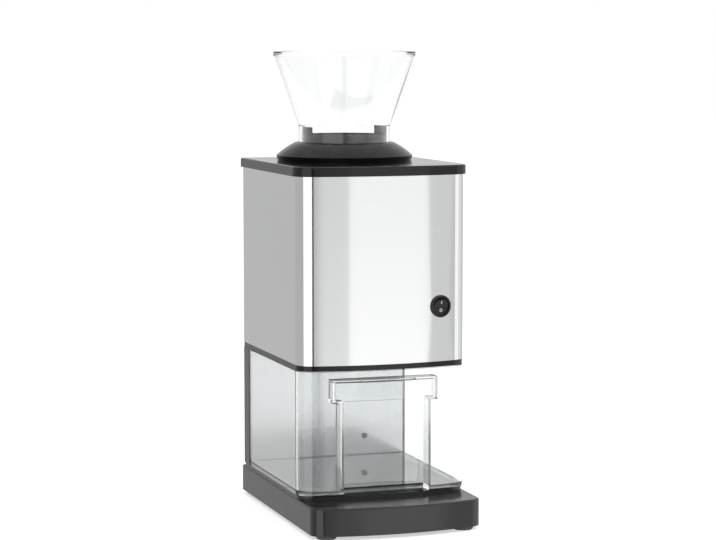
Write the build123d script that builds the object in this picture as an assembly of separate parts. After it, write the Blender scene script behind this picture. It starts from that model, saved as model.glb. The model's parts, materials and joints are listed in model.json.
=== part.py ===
from build123d import *
import math
import os

# Electric tabletop ice crusher. Millimetres and degrees.
# Origin on the surface it stands on, under the middle of the base. +X right, +Y back, +Z up.

# ---- housing and base in plan ----
WIDTH = 175.0            # housing, container and base
BODY_FRONT = -89.0       # foremost point of the bowed front
BODY_BACK = 126.0
BODY_BOW_R = 320.0
BODY_CORNER_R = 18.0     # upright front corners
BASE_FRONT = -133.3
BASE_BACK = 133.3
BASE_BOW_R = 335.0
BASE_CORNER_R = 14.0
BACK_CORNER_R = 3.0

# ---- heights ----
FOOT_HEIGHT = 4.0
BASE_HEIGHT = 27.0
PLINTH_HEIGHT = 4.0
BAY_HEIGHT = 124.0       # from plinth to deck
DECK_THICK = 5.5
HOUSING_HEIGHT = 185.5
TOP_THICK = 9.5
TOP_OVERHANG = 2.5

# ---- walls and clearances ----
PLASTIC_WALL = 2.5
DECK_PLATE = 3.0
STEEL = 1.0
SPLASH_STEEL = 0.8
FIT_GAP = 0.3            # between pieces that locate each other
SLIDE_GAP = 0.3          # under and behind the container
RUN_CLEAR = 0.04         # radial, shaft in bush
SCREW_CLEAR = 0.05       # radial, shank in its hole
HOLE_CLEAR = 0.5         # radial, screws through covers

# ---- screws ----
SCREW_R = 1.5
SCREW_HEAD_R = 2.8
SCREW_HEAD = 2.0
BOSS_R = 4.0

# ---- base ----
PLINTH_INSET = 1.2
COVER_THICK = 2.0
COVER_RECESS = 0.5
FOOT_R = 10.0
FOOT_SIDE_INSET = 16.5   # from the base's edges to each foot's middle
FOOT_BACK_INSET = 21.3
FOOT_FRONT_INSET = 13.69 # from the bowed front beside it
FOOT_CHAMFER = 1.0
FOOT_SEAT = 1.2          # screw heads sit this far below the cover
FOOT_SCREW_LENGTH = 13.0
EDGE_R = 2.0

# ---- container ----
CONTAINER_WALL = 2.5
CONTAINER_TOP_GAP = 0.7
RECESS_HALF = 44.5       # finger recess in the front
RECESS_TOP = 94.0        # above the plinth
POCKET_HALF = 52.0       # wider finger pocket over it, behind the front wall
POCKET_HEIGHT = 18.0
RECESS_DEPTH = 19.0
RAIL_INSET = 9.5         # guide rails on the plinth, from the sides
RAIL_WIDTH = 3.0
RAIL_HEIGHT = 1.8
RAIL_START = -58.0
RAIL_END_GAP = 2.0
RAIL_FRONT_CLEAR = 3.0
CONTAINER_FLOOR_LIFT = 2.0

# ---- rear column ----
COLUMN_DEPTH = 22.0
SPLASH_INSET = 0.5       # from the sides
SPLASH_END_GAP = 1.0
COLUMN_SCREW_INSET = 27.5
COLUMN_BOSS_HEIGHT = 16.0
COLUMN_SCREW_SPARE = 2.0 # boss left past the screw's tip
COLUMN_RIB = 2.0

# ---- deck and top plate edges ----
DECK_INSET = 0.4
DECK_EDGE = 3.0
DECK_LIP = 2.0           # round the outlet
DECK_PAD = 5.0           # half width of the bar over the column's screws
TOP_LIP_DEPTH = 5.0
TOP_LIP_WALL = 2.0

# ---- tie rods between deck and top plate ----
ROD_R = 2.5
ROD_INSET = 10.5         # from the sides
ROD_FRONT_INSET = 39.0
ROD_BACK_INSET = 14.0
ROD_GRIP = 3.0           # into the top plate
NUT_R = 4.4
NUT_HEIGHT = 2.4

# ---- rear panel ----
PANEL_THICK = 2.5
RETURN_FLANGE = 7.0
VENT_COUNT = 7
VENT_LENGTH = 60.0
VENT_WIDTH = 3.0
VENT_PITCH = 8.0
VENT_LOW = 60.0          # above the deck
PANEL_SCREW_LENGTH = 6.0

# ---- hopper and its ring ----
HOPPER_Y = 48.0          # hopper, crush chamber and outlet share this line
RING_REACH = 23.2        # past the hopper's neck
RING_SKIRT = 5.0
RING_TOP_REACH = 3.7
RING_ARC_IN = 9.5        # the dome's middle point, from the top of the skirt
RING_ARC_UP = 7.6
RING_SCREW_OUT = 5.5     # past the groove
RING_SCREW_GRIP = 8.0
RING_HEIGHT = 18.5
RING_WALL = 3.0
RING_BOSS_DROP = 2.0     # screw bosses end this far below the wall's underside
NECK_R = 47.3
NECK_WALL = 3.0
NECK_STRAIGHT = 17.0     # above the ring
HOPPER_WALL = 2.5
RIM_REACH = 26.0         # past the neck
RIM_HEIGHT = 93.0        # rim above the ring
RIM_LIP = 5.0
RIM_STEP = 1.5
NECK_GAP = 0.5
COLLAR_WALL = 2.7
COLLAR_HEIGHT = 8.0
HOOK_HEIGHT = 16.0
HOOK_ANGLE = 40.0
SEAL_THICK = 1.2
GROOVE_FLOOR = 5.4

# ---- crush chamber and outlet ----
CHAMBER_HALF = 42.0
CHAMBER_HEIGHT = 128.0   # down from the top plate
CHAMBER_FLANGE = 7.5     # past the chamber's wall, left and right
FLANGE_SCREW_Y = 30.0    # either side of the hopper's line
TOP_SCREW_GRIP = 6.0
CHUTE_HALF = 39.0
CHUTE_WALL = 2.0
CHUTE_LIFT = 1.0         # above the underside of the deck

# ---- rotor ----
ROTOR_DROP = 88.0        # down from the top plate
SHAFT_R = 5.0
SEAT_GAP = 0.02          # radial, pieces fixed on a shaft or pin
GROOVE_DEPTH = 0.8
GROOVE_WIDTH = 1.0
SHAFT_TAIL = 5.0         # behind the chamber
GROOVE_LINE = 2.0        # behind the chamber
RING_SLOT = 3.0
BLADE_TIP_R = 36.0
BLADE_THICK = 2.5
BLADE_COUNT = 4
BLADE_PITCH = 18.0
BLADE_ARMS = 3
BLADE_TURN = 30.0
HUB_WALL = 6.0
SPACER_WALL = 3.0
SPACER_PLAY = 0.2
BAR_THICK = 3.0
BAR_HEIGHT = 9.0
BAR_GAP = 2.0            # end of each fixed bar from the spacers
BAR_FIT = 0.1            # round each bar where it passes the wall
RACK_BACK = 3.0
RACK_HALF = 15.0
RACK_END = 3.0
RACK_SCREW_Y = 27.0
RACK_SCREW_Z = 11.0
BUSH_FLANGE = 1.2
BUSH_WALL = 2.2
BUSH_FLANGE_REACH = 2.0
BUSH_STANDOUT = 0.5      # past the far face of its wall

# ---- gear train ----
OUTPUT_TEETH = 56
CLUSTER_PINION_TEETH = 14
OUTPUT_MODULE = 1.25
CLUSTER_TEETH = 60
MOTOR_TEETH = 12
MOTOR_MODULE = 1.0
BACKLASH = 0.25
GEAR_PIN_R = 3.0
OUTPUT_FACE = 8.0
CLUSTER_FACE = 6.0
GEARBOX_HALF = 46.0
GEARBOX_UNDER = 42.0     # below the rotor axis
GEARBOX_OVER = 40.0      # above the cluster axis
GEARBOX_STANDOFF = 5.5   # from the crush chamber
GEARBOX_DEPTH = 26.0
GEARBOX_POST_X = 38.0
GEARBOX_POST_INSET = 8.0
GEARBOX_SCREW_PAST = 5.0 # past the gearbox, into the chamber's posts
OUTPUT_GAP = 1.5         # between cover and output gear
CLUSTER_GAP = 2.0        # between the two wheels
PINION_PAST = 0.5
PIN_SINK = 0.5           # cluster pin's ends, from the outer faces
PIN_BOSS_WALL = 2.5
PIN_BOSS_GAP = 0.3
LIGHTENING_HOLES = 6
LIGHTENING_LINE = 21.0
LIGHTENING_R = 6.0

# ---- motor ----
STATOR_HALF_X = 32.0
STATOR_HALF_Z = 28.0
STATOR_CORNER_R = 3.0
MOTOR_FRONT_GAP = 9.5    # from the foremost point of the housing
BRUSH_SPACE = 15.0       # bracket to stator
FAN_SPACE = 12.0         # stator to gearbox
MOTOR_MOUNT_INSET = 5.0
WINDOW_IN = 12.0         # coil windows in the stator, from the motor axis
WINDOW_OUT = 27.0
WINDOW_HALF = 15.0
COIL_IN = 20.5
COIL_GAP = 0.3           # to the window's walls
COIL_EYE = 7.0
COIL_OVERHANG = 4.0
COIL_END = 5.0           # thickness of the wire at each end
BORE_R = 19.5
AIR_GAP = 0.5
MOTOR_SHAFT_R = 3.0
MOTOR_SCREW_X = 18.0
MOTOR_SCREW_Z = 24.0
MOTOR_SCREW_HEAD = 1.0
MOTOR_SCREW_PAST = 2.0
BRACKET_NOTCH_HALF = 10.0
BRACKET_NOTCH_FROM = 16.0
FAN_R = 24.0
FAN_WIDTH = 5.5
FAN_BLADES = 9
FAN_HUB_R = 7.0
FAN_DISC = 1.2
VANE_THICK = 1.2
VANE_INSET = 0.8
ARMATURE_SLOTS = 12
SLOT_LINE = 14.5
SLOT_R = 2.2
WINDING_R = 16.0
WINDING_FRONT = 3.5
WINDING_BACK = 2.5
COMMUTATOR_R = 9.0
COMMUTATOR_GAP = 3.0     # to the bracket
COMMUTATOR_BACK = 4.0    # to the stator
HOLDER_GAP = 1.5         # to the commutator
HOLDER_OUT = 23.0
HOLDER_HALF = 4.0
HOLDER_FOOT_HALF = 12.0
HOLDER_WALL = 1.0
HOLDER_BACK = 4.5        # to the stator
BRUSH_HALF = 2.5
BRUSH_PLAY = 0.1
BRUSH_GAP = 0.2          # to the commutator
BRUSH_OUT = 21.0

# ---- switch ----
SWITCH_X = 57.1
SWITCH_RISE = 55.0       # above the deck
BEZEL_R = 11.2
BEZEL_THICK = 2.0
BEZEL_EDGE_R = 0.8
SWITCH_BODY_R = 9.8
SWITCH_DEPTH = 20.0
SWITCH_WELL = 7.5
TAB_X = 4.5
TAB_THICK = 0.8
TAB_WIDTH = 5.0
TAB_LENGTH = 7.0
PADDLE_R = 8.0
PADDLE_GAP = 0.8
PADDLE_CREST = 0.8       # height of the middle over the panel
PADDLE_DEPTH = 3.2
PADDLE_PLAY = 0.2        # each end of its pivot
ROCK = 8.0               # either side of level
PIVOT_DEPTH = 2.0
PIVOT_R = 1.2

# ---- interlock, terminal block, cable gland ----
INTERLOCK_X = 40.0
INTERLOCK_RISE = 25.0    # above the plinth
PLUNGER_R = 2.5
PLUNGER_TRAVEL = 2.2
PLUNGER_COLLAR = 0.8
PLUNGER_STOP_GAP = 0.2   # left at each end of its travel
PLUNGER_COLLAR_STEP = 1.2
PLUNGER_TAIL = 3.5
PLUNGER_BORE = 5.0
INTERLOCK_HALF_X = 10.0
INTERLOCK_HALF_Z = 5.5
TERMINAL_GAP = 6.0       # from the chamber's flange
TERMINAL_WIDTH = 14.0
TERMINAL_HEIGHT = 14.0
TERMINAL_START = 60.0
TERMINAL_PITCH = 10.0
TERMINAL_WAYS = 3
TERMINAL_END = 6.0
TERMINAL_HOLE_R = 2.5
TERMINAL_HOLE_DEPTH = 8.0
GLAND_X = -40.0
GLAND_R = 6.0
GLAND_HEAD_R = 8.5
GLAND_CABLE_R = 3.6
GLAND_INSIDE = 6.0
GLAND_COLLAR = 3.0
GLAND_NECK = 3.0
GLAND_NUT_R = 9.0
GLAND_NUT_THICK = 4.0

# ---- levels and lines worked out from the above ----
BASE_TOP = FOOT_HEIGHT + BASE_HEIGHT
PLINTH_TOP = BASE_TOP + PLINTH_HEIGHT
DECK_BOTTOM = PLINTH_TOP + BAY_HEIGHT
DECK_TOP = DECK_BOTTOM + DECK_THICK
HOUSING_TOP = DECK_TOP + HOUSING_HEIGHT
TOP = HOUSING_TOP + TOP_THICK
RING_TOP = TOP + RING_HEIGHT
COLUMN_FRONT = BODY_BACK - COLUMN_DEPTH
SPLASH_FRONT = COLUMN_FRONT - SPLASH_STEEL
CONTAINER_BACK = SPLASH_FRONT - PLASTIC_WALL
RAIL_HALF = WIDTH / 2 - RAIL_INSET
SPLASH_HALF = WIDTH / 2 - SPLASH_INSET
COLUMN_SCREW_X = WIDTH / 2 - COLUMN_SCREW_INSET
COLUMN_LINE = BODY_BACK - COLUMN_DEPTH / 2   # its screws stand in the middle of its depth
INTERLOCK_Z = PLINTH_TOP + INTERLOCK_RISE
THROAT_OUT_R = NECK_R - NECK_WALL - NECK_GAP  # collar inside the hopper's neck
THROAT_R = THROAT_OUT_R - COLLAR_WALL
GROOVE_R = NECK_R + NECK_GAP
RING_R = NECK_R + RING_REACH
RING_TOP_R = NECK_R + RING_TOP_REACH
RIM_R = NECK_R + RIM_REACH
ROTOR_Z = HOUSING_TOP - ROTOR_DROP
CHAMBER_BOTTOM = HOUSING_TOP - CHAMBER_HEIGHT
CHAMBER_OUT = CHAMBER_HALF + PLASTIC_WALL
CHAMBER_FACE = HOPPER_Y - CHAMBER_OUT
FLANGE_SCREW_X = CHAMBER_OUT + SCREW_HEAD_R + FIT_GAP
COVER_BOTTOM = FOOT_HEIGHT + COVER_RECESS
COVER_TOP = COVER_BOTTOM + COVER_THICK
BASE_DECK = BASE_TOP - PLASTIC_WALL
CLUSTER_Z = ROTOR_Z + OUTPUT_MODULE * (OUTPUT_TEETH + CLUSTER_PINION_TEETH) / 2
MOTOR_X = -MOTOR_MODULE * (CLUSTER_TEETH + MOTOR_TEETH) / 2
GEARBOX_BACK = CHAMBER_FACE - GEARBOX_STANDOFF
GEARBOX_FRONT = GEARBOX_BACK - GEARBOX_DEPTH
GEARBOX_LOW = ROTOR_Z - GEARBOX_UNDER
GEARBOX_HIGH = CLUSTER_Z + GEARBOX_OVER
GEARBOX_COVER_FRONT = GEARBOX_BACK - PLASTIC_WALL
OUTPUT_BACK = GEARBOX_COVER_FRONT - OUTPUT_GAP
CLUSTER_BACK = OUTPUT_BACK - OUTPUT_FACE - CLUSTER_GAP
CLUSTER_FRONT = CLUSTER_BACK - CLUSTER_FACE
BRACKET_FRONT = BODY_FRONT + MOTOR_FRONT_GAP
BRACKET_BACK = BRACKET_FRONT + PLASTIC_WALL
STATOR_FRONT = BRACKET_BACK + BRUSH_SPACE
STATOR_BACK = GEARBOX_FRONT - FAN_SPACE
SPACER_R = SHAFT_R + SPACER_WALL
BAR_REACH = SPACER_R + BAR_GAP
FLANGE_SCREW_YS = (HOPPER_Y - FLANGE_SCREW_Y, HOPPER_Y + FLANGE_SCREW_Y)
GEARBOX_POSTS = [(x, z) for x in (-GEARBOX_POST_X, GEARBOX_POST_X)
                 for z in (GEARBOX_LOW + GEARBOX_POST_INSET, GEARBOX_HIGH - GEARBOX_POST_INSET)]
MOTOR_SCREWS = [(MOTOR_X + x, CLUSTER_Z + z) for x in (-MOTOR_SCREW_X, MOTOR_SCREW_X)
                for z in (-MOTOR_SCREW_Z, MOTOR_SCREW_Z)]
RODS = [(side * (WIDTH / 2 - ROD_INSET), y) for side in (-1, 1)
        for y in (BODY_FRONT + ROD_FRONT_INSET, BODY_BACK - ROD_BACK_INSET)]
FOOT_X = WIDTH / 2 - FOOT_SIDE_INSET
FOOT_BOW = BASE_BOW_R - math.sqrt(BASE_BOW_R ** 2 - FOOT_X ** 2)   # how far the front has curved back there
FEET = [(side * FOOT_X, y) for side in (-1, 1)
        for y in (BASE_FRONT + FOOT_BOW + FOOT_FRONT_INSET, BASE_BACK - FOOT_BACK_INSET)]
BLADE_YS = [HOPPER_Y + (i - (BLADE_COUNT - 1) / 2) * BLADE_PITCH for i in range(BLADE_COUNT)]
BAR_YS = [HOPPER_Y + (i - BLADE_COUNT / 2) * BLADE_PITCH for i in range(BLADE_COUNT + 1)]


# ---- shapes used by more than one piece ----
def box(x, y, z):
    """Block between the low and high values of each pair."""
    middle = [(pair[0] + pair[1]) / 2 for pair in (x, y, z)]
    return Pos(*middle) * Box(x[1] - x[0], y[1] - y[0], z[1] - z[0])


def upright(x, y, low, high, radius):
    return Pos(x, y, (low + high) / 2) * Cylinder(radius, high - low)


def level(x, z, front, back, radius):
    """Cylinder along Y."""
    return Pos(x, (front + back) / 2, z) * Rot(90, 0, 0) * Cylinder(radius, back - front)


def across(y, z, left, right, radius):
    """Cylinder along X."""
    return Pos((left + right) / 2, y, z) * Rot(0, 90, 0) * Cylinder(radius, right - left)


def plan(front, back, bow_r, corner_r, inset=0.0):
    """Outline in plan: straight sides and back, round front corners, front bowed on an arc."""
    half = WIDTH / 2 - inset
    front += inset
    back -= inset
    bow_r -= inset
    corner_r -= inset
    bow_y = front + bow_r
    corner_x = half - corner_r
    corner_y = bow_y - math.sqrt((bow_r - corner_r) ** 2 - corner_x ** 2)
    reach = bow_r / (bow_r - corner_r)
    meet_x = corner_x * reach
    meet_y = bow_y + (corner_y - bow_y) * reach
    turn = math.atan2(meet_y - corner_y, meet_x - corner_x) / 2
    bulge_x = corner_x + corner_r * math.cos(turn)
    bulge_y = corner_y + corner_r * math.sin(turn)
    outline = Curve() + [
        Line((-half, back), (half, back)),
        Line((half, back), (half, corner_y)),
        ThreePointArc((half, corner_y), (bulge_x, bulge_y), (meet_x, meet_y)),
        ThreePointArc((meet_x, meet_y), (0, front), (-meet_x, meet_y)),
        ThreePointArc((-meet_x, meet_y), (-bulge_x, bulge_y), (-half, corner_y)),
        Line((-half, corner_y), (-half, back)),
    ]
    face = make_face(outline)
    return fillet(face.vertices().group_by(Axis.Y)[-1], max(BACK_CORNER_R - inset, 0.5))


def slab(face, low, high):
    return extrude(Pos(0, 0, low) * face, amount=high - low, dir=(0, 0, 1))


def body_slab(low, high, inset=0.0):
    return slab(plan(BODY_FRONT, BODY_BACK, BODY_BOW_R, BODY_CORNER_R, inset), low, high)


def base_slab(low, high, inset=0.0):
    return slab(plan(BASE_FRONT, BASE_BACK, BASE_BOW_R, BASE_CORNER_R, inset), low, high)


def container_slab(low, high, inset=0.0):
    return slab(plan(BODY_FRONT, CONTAINER_BACK, BODY_BOW_R, BODY_CORNER_R, inset), low, high)


def turned(points, x, y):
    """Closed outline of radius and height pairs, spun about the upright line through x, y."""
    face = Plane.XZ * make_face(Polyline(*points, close=True))
    return Pos(x, y, 0) * revolve(face, Axis.Z)


def screw_down(x, y, seat, length):
    """Screw along Z with its head above the seat."""
    return upright(x, y, seat - length, seat, SCREW_R) + upright(x, y, seat, seat + SCREW_HEAD, SCREW_HEAD_R)


def screw_up(x, y, seat, length):
    """Screw along Z with its head below the seat."""
    return upright(x, y, seat, seat + length, SCREW_R) + upright(x, y, seat - SCREW_HEAD, seat, SCREW_HEAD_R)


def screw_in(x, z, seat, length, forward=True):
    """Screw along Y with its head behind the seat, or before it if not forward."""
    side = -1 if forward else 1
    tip = seat + side * length
    head = seat - side * SCREW_HEAD
    shank = level(x, z, min(seat, tip), max(seat, tip), SCREW_R)
    return shank + level(x, z, min(seat, head), max(seat, head), SCREW_HEAD_R)


def shank_hole(x, y, low, high):
    return upright(x, y, low, high, SCREW_R + SCREW_CLEAR)


def gear_face(teeth, module, first_tooth):
    """Spur gear outline, flanks as arcs through three points of the involute."""
    pressure = math.radians(20)
    pitch_r = teeth * module / 2
    tip_r = pitch_r + 0.9 * module
    root_r = pitch_r - 1.2 * module
    base_r = pitch_r * math.cos(pressure)
    start_r = max(base_r, root_r + 0.05 * module)
    half_tooth = math.pi / (2 * teeth) - BACKLASH / (4 * pitch_r) + math.tan(pressure) - pressure

    def half_angle(radius):
        roll = math.acos(min(1.0, base_r / radius))
        return half_tooth - math.tan(roll) + roll

    def spot(radius, angle):
        return radius * math.cos(angle), radius * math.sin(angle)

    edges = []
    for i in range(teeth):
        middle = math.radians(first_tooth) + 2 * math.pi * i / teeth
        following = middle + 2 * math.pi / teeth
        start = half_angle(start_r)
        halfway_r = (start_r + tip_r) / 2
        halfway = half_angle(halfway_r)
        tip = half_angle(tip_r)
        edges.append(Line(spot(root_r, middle - start), spot(start_r, middle - start)))
        edges.append(ThreePointArc(spot(start_r, middle - start), spot(halfway_r, middle - halfway),
                                   spot(tip_r, middle - tip)))
        edges.append(ThreePointArc(spot(tip_r, middle - tip), spot(tip_r, middle), spot(tip_r, middle + tip)))
        edges.append(ThreePointArc(spot(tip_r, middle + tip), spot(halfway_r, middle + halfway),
                                   spot(start_r, middle + start)))
        edges.append(Line(spot(start_r, middle + start), spot(root_r, middle + start)))
        edges.append(ThreePointArc(spot(root_r, middle + start), spot(root_r, (middle + following) / 2),
                                   spot(root_r, following - start)))
    return make_face(Curve() + edges)


def gear(teeth, module, first_tooth, x, z, front, back):
    """Spur gear about a line along Y; angles run from +X towards +Z."""
    blank = extrude(gear_face(teeth, module, first_tooth), amount=back - front, dir=(0, 0, 1))
    return Pos(x, back, z) * Rot(90, 0, 0) * blank


def bush(x, z, front, back, bore_r, flange_at_front):
    """Plain bush along Y with a flange at one end."""
    body_r = bore_r + BUSH_WALL
    flange_r = body_r + BUSH_FLANGE_REACH
    body = level(x, z, front, back, body_r)
    if flange_at_front:
        body += level(x, z, front, front + BUSH_FLANGE, flange_r)
    else:
        body += level(x, z, back - BUSH_FLANGE, back, flange_r)
    return body - level(x, z, front - 1, back + 1, bore_r + RUN_CLEAR)


# ---- base ----
def base_tray():
    tray = base_slab(FOOT_HEIGHT, BASE_TOP)
    tray = fillet(tray.faces().sort_by(Axis.Z)[-1].edges(), EDGE_R)
    tray -= base_slab(FOOT_HEIGHT - 1, BASE_DECK, PLASTIC_WALL)
    tray += body_slab(BASE_DECK, PLINTH_TOP, PLINTH_INSET)
    for x, y in FEET:
        tray += upright(x, y, COVER_TOP, BASE_DECK, BOSS_R)
        tray -= shank_hole(x, y, COVER_BOTTOM, COVER_BOTTOM - FOOT_SEAT + FOOT_SCREW_LENGTH + 1)
    for side in (-1, 1):
        inner, outer = sorted((side * (RAIL_HALF - RAIL_WIDTH / 2), side * (RAIL_HALF + RAIL_WIDTH / 2)))
        tray += box((inner, outer), (RAIL_START, COLUMN_FRONT - RAIL_END_GAP),
                    (PLINTH_TOP, PLINTH_TOP + RAIL_HEIGHT))
        tray -= shank_hole(side * COLUMN_SCREW_X, COLUMN_LINE, BASE_DECK - 1, PLINTH_TOP + 1)
    return tray


def base_cover():
    cover = base_slab(COVER_BOTTOM, COVER_TOP, PLASTIC_WALL + FIT_GAP)
    for x, y in FEET:
        cover -= shank_hole(x, y, COVER_BOTTOM - 1, COVER_TOP + 1)
    for side in (-1, 1):
        cover -= upright(side * COLUMN_SCREW_X, COLUMN_LINE, COVER_BOTTOM - 1, BASE_DECK, SCREW_HEAD_R + 1)
    return cover


def rubber_feet():
    hole_r = SCREW_R + SCREW_CLEAR
    well_r = SCREW_HEAD_R + HOLE_CLEAR
    seat = COVER_BOTTOM - FOOT_SEAT
    profile = [(hole_r, COVER_BOTTOM), (FOOT_R, COVER_BOTTOM), (FOOT_R, FOOT_CHAMFER),
               (FOOT_R - FOOT_CHAMFER, 0), (well_r, 0), (well_r, seat), (hole_r, seat)]
    return Part() + [turned(profile, x, y) for x, y in FEET]


def foot_screws():
    return Part() + [screw_up(x, y, COVER_BOTTOM - FOOT_SEAT, FOOT_SCREW_LENGTH) for x, y in FEET]


# ---- container ----
def container():
    low = PLINTH_TOP + SLIDE_GAP
    high = DECK_BOTTOM - CONTAINER_TOP_GAP
    floor_low = low + CONTAINER_FLOOR_LIFT
    recess_top = PLINTH_TOP + RECESS_TOP
    pocket_top = recess_top + POCKET_HEIGHT
    recess_back = BODY_FRONT + RECESS_DEPTH
    wall = CONTAINER_WALL
    ahead = BODY_FRONT - 1

    finger = box((-RECESS_HALF, RECESS_HALF), (ahead, recess_back), (low - 1, recess_top))
    pocket = box((-POCKET_HALF, POCKET_HALF), (ahead, recess_back), (recess_top - 0.01, pocket_top))
    finger += pocket & container_slab(low, high, wall)
    guard = box((-RECESS_HALF - wall, RECESS_HALF + wall), (ahead, recess_back + wall),
                (low - 1, recess_top))
    guard += box((-POCKET_HALF - wall, POCKET_HALF + wall), (ahead, recess_back + wall),
                 (recess_top - wall, pocket_top + wall))
    hollow = container_slab(floor_low + wall, high + 1, wall) - guard

    rail_clear = RAIL_HALF + RAIL_WIDTH / 2 + FIT_GAP
    underside = box((-rail_clear, rail_clear), (RAIL_START - RAIL_FRONT_CLEAR, CONTAINER_BACK + 1),
                    (low - 1, floor_low))
    return container_slab(low, high) - finger - hollow - underside


# ---- rear column ----
def rear_column():
    inner = PLASTIC_WALL
    half = WIDTH / 2
    cut = box((-half - 1, half + 1), (BODY_FRONT - 1, COLUMN_FRONT), (PLINTH_TOP, DECK_BOTTOM))
    column = body_slab(PLINTH_TOP, DECK_BOTTOM) - cut
    column -= box((-half + inner, half - inner), (COLUMN_FRONT + inner, BODY_BACK - inner),
                  (PLINTH_TOP + inner, DECK_BOTTOM + 1))
    for side in (-1, 1):
        x = side * COLUMN_SCREW_X
        rib = (x - COLUMN_RIB / 2, x + COLUMN_RIB / 2)
        for low, high in ((PLINTH_TOP, PLINTH_TOP + COLUMN_BOSS_HEIGHT),
                          (DECK_BOTTOM - COLUMN_BOSS_HEIGHT, DECK_BOTTOM)):
            column += upright(x, COLUMN_LINE, low, high, BOSS_R)
            column += box(rib, (COLUMN_FRONT + 1, BODY_BACK - 1), (low, high))
            column -= shank_hole(x, COLUMN_LINE, low - 1, high + 1)
    plunger_hole_r = PLUNGER_R + HOLE_CLEAR
    column -= level(INTERLOCK_X, INTERLOCK_Z, COLUMN_FRONT - 1, COLUMN_FRONT + inner + 1, plunger_hole_r)
    return column - level(GLAND_X, INTERLOCK_Z, BODY_BACK - inner - 1, BODY_BACK + 1, GLAND_R + FIT_GAP)


def splash_panel():
    panel = box((-SPLASH_HALF, SPLASH_HALF), (SPLASH_FRONT, COLUMN_FRONT),
                (PLINTH_TOP + SPLASH_END_GAP, DECK_BOTTOM - SPLASH_END_GAP))
    return panel - level(INTERLOCK_X, INTERLOCK_Z, SPLASH_FRONT - 1, COLUMN_FRONT + 1, PLUNGER_R + HOLE_CLEAR)


def column_screws():
    screws = Part()
    grip = COLUMN_BOSS_HEIGHT - COLUMN_SCREW_SPARE
    for side in (-1, 1):
        x = side * COLUMN_SCREW_X
        screws += screw_up(x, COLUMN_LINE, BASE_DECK, PLINTH_TOP - BASE_DECK + grip)
        screws += screw_down(x, COLUMN_LINE, DECK_TOP, DECK_THICK + grip)
    return screws


# ---- deck between the bay and the housing ----
def deck():
    plate = body_slab(DECK_BOTTOM, DECK_TOP, DECK_INSET)
    plate -= body_slab(DECK_BOTTOM - 1, DECK_TOP - DECK_PLATE, DECK_INSET + DECK_EDGE)
    outlet = CHUTE_HALF + CHUTE_WALL + FIT_GAP
    lip = outlet + DECK_LIP
    opening = box((-outlet, outlet), (HOPPER_Y - outlet, HOPPER_Y + outlet), (DECK_BOTTOM - 1, DECK_TOP + 1))
    plate += box((-lip, lip), (HOPPER_Y - lip, HOPPER_Y + lip), (DECK_BOTTOM, DECK_TOP))
    plate += box((-COLUMN_SCREW_X - DECK_PAD, COLUMN_SCREW_X + DECK_PAD),
                 (COLUMN_LINE - DECK_PAD, COLUMN_LINE + DECK_PAD), (DECK_BOTTOM, DECK_TOP))
    plate -= opening
    for x, y in RODS:
        plate -= upright(x, y, DECK_BOTTOM - 1, DECK_TOP + 1, ROD_R + SCREW_CLEAR)
    for side in (-1, 1):
        plate -= shank_hole(side * COLUMN_SCREW_X, COLUMN_LINE, DECK_BOTTOM - 1, DECK_TOP + 1)
    return plate


def tie_rods():
    low = DECK_TOP - DECK_PLATE - NUT_HEIGHT
    return Part() + [upright(x, y, low, HOUSING_TOP + ROD_GRIP, ROD_R) for x, y in RODS]


def rod_nuts():
    nuts = Part()
    for x, y in RODS:
        top = DECK_TOP - DECK_PLATE
        hexagon = Pos(x, y, top - NUT_HEIGHT) * RegularPolygon(NUT_R, 6)
        blank = extrude(hexagon, amount=NUT_HEIGHT, dir=(0, 0, 1))
        nuts += blank - upright(x, y, top - NUT_HEIGHT - 1, top + 1, ROD_R + SCREW_CLEAR)
    return nuts


# ---- housing ----
def switch_place():
    """On the bowed front, facing outwards: X level, Y up, Z out."""
    bow_y = BODY_FRONT + BODY_BOW_R
    lean = math.asin(SWITCH_X / BODY_BOW_R)
    out = (math.sin(lean), -math.cos(lean), 0)
    along = (math.cos(lean), math.sin(lean), 0)
    spot = (SWITCH_X, bow_y - BODY_BOW_R * math.cos(lean), DECK_TOP + SWITCH_RISE)
    return Plane(origin=spot, x_dir=along, z_dir=out).location


def housing_wrap():
    half = WIDTH / 2 - RETURN_FLANGE
    wrap = body_slab(DECK_TOP, HOUSING_TOP) - body_slab(DECK_TOP - 1, HOUSING_TOP + 1, STEEL)
    wrap -= box((-half, half), (BODY_BACK - 20, BODY_BACK + 1), (DECK_TOP - 1, HOUSING_TOP + 1))
    wrap -= switch_place() * Cylinder(SWITCH_BODY_R + SCREW_CLEAR, 20)
    for x, z in panel_screw_spots():
        wrap -= level(x, z, BODY_BACK - 2 * STEEL, BODY_BACK + 1, SCREW_R + SCREW_CLEAR)
    return wrap


def panel_screw_spots():
    x = WIDTH / 2 - RETURN_FLANGE / 2 - STEEL / 2
    rise = HOUSING_HEIGHT / 4
    return [(side * x, DECK_TOP + rise * i) for side in (-1, 1) for i in (1, 2, 3)]


def rear_panel():
    back = BODY_BACK - STEEL - FIT_GAP
    half = WIDTH / 2
    strip = box((-half, half), (back - PANEL_THICK, back), (DECK_TOP, HOUSING_TOP))
    panel = body_slab(DECK_TOP, HOUSING_TOP, STEEL + FIT_GAP) & strip
    for i in range(VENT_COUNT):
        z = DECK_TOP + VENT_LOW + i * VENT_PITCH
        slot = extrude(Plane.XZ * SlotOverall(VENT_LENGTH, VENT_WIDTH), amount=2 * PANEL_THICK, both=True)
        panel -= Pos(0, back, z) * slot
    for x, z in panel_screw_spots():
        panel -= level(x, z, back - PANEL_THICK - 1, back + 1, SCREW_R + SCREW_CLEAR)
    return panel


def panel_screws():
    return Part() + [screw_in(x, z, BODY_BACK, PANEL_SCREW_LENGTH) for x, z in panel_screw_spots()]


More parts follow.
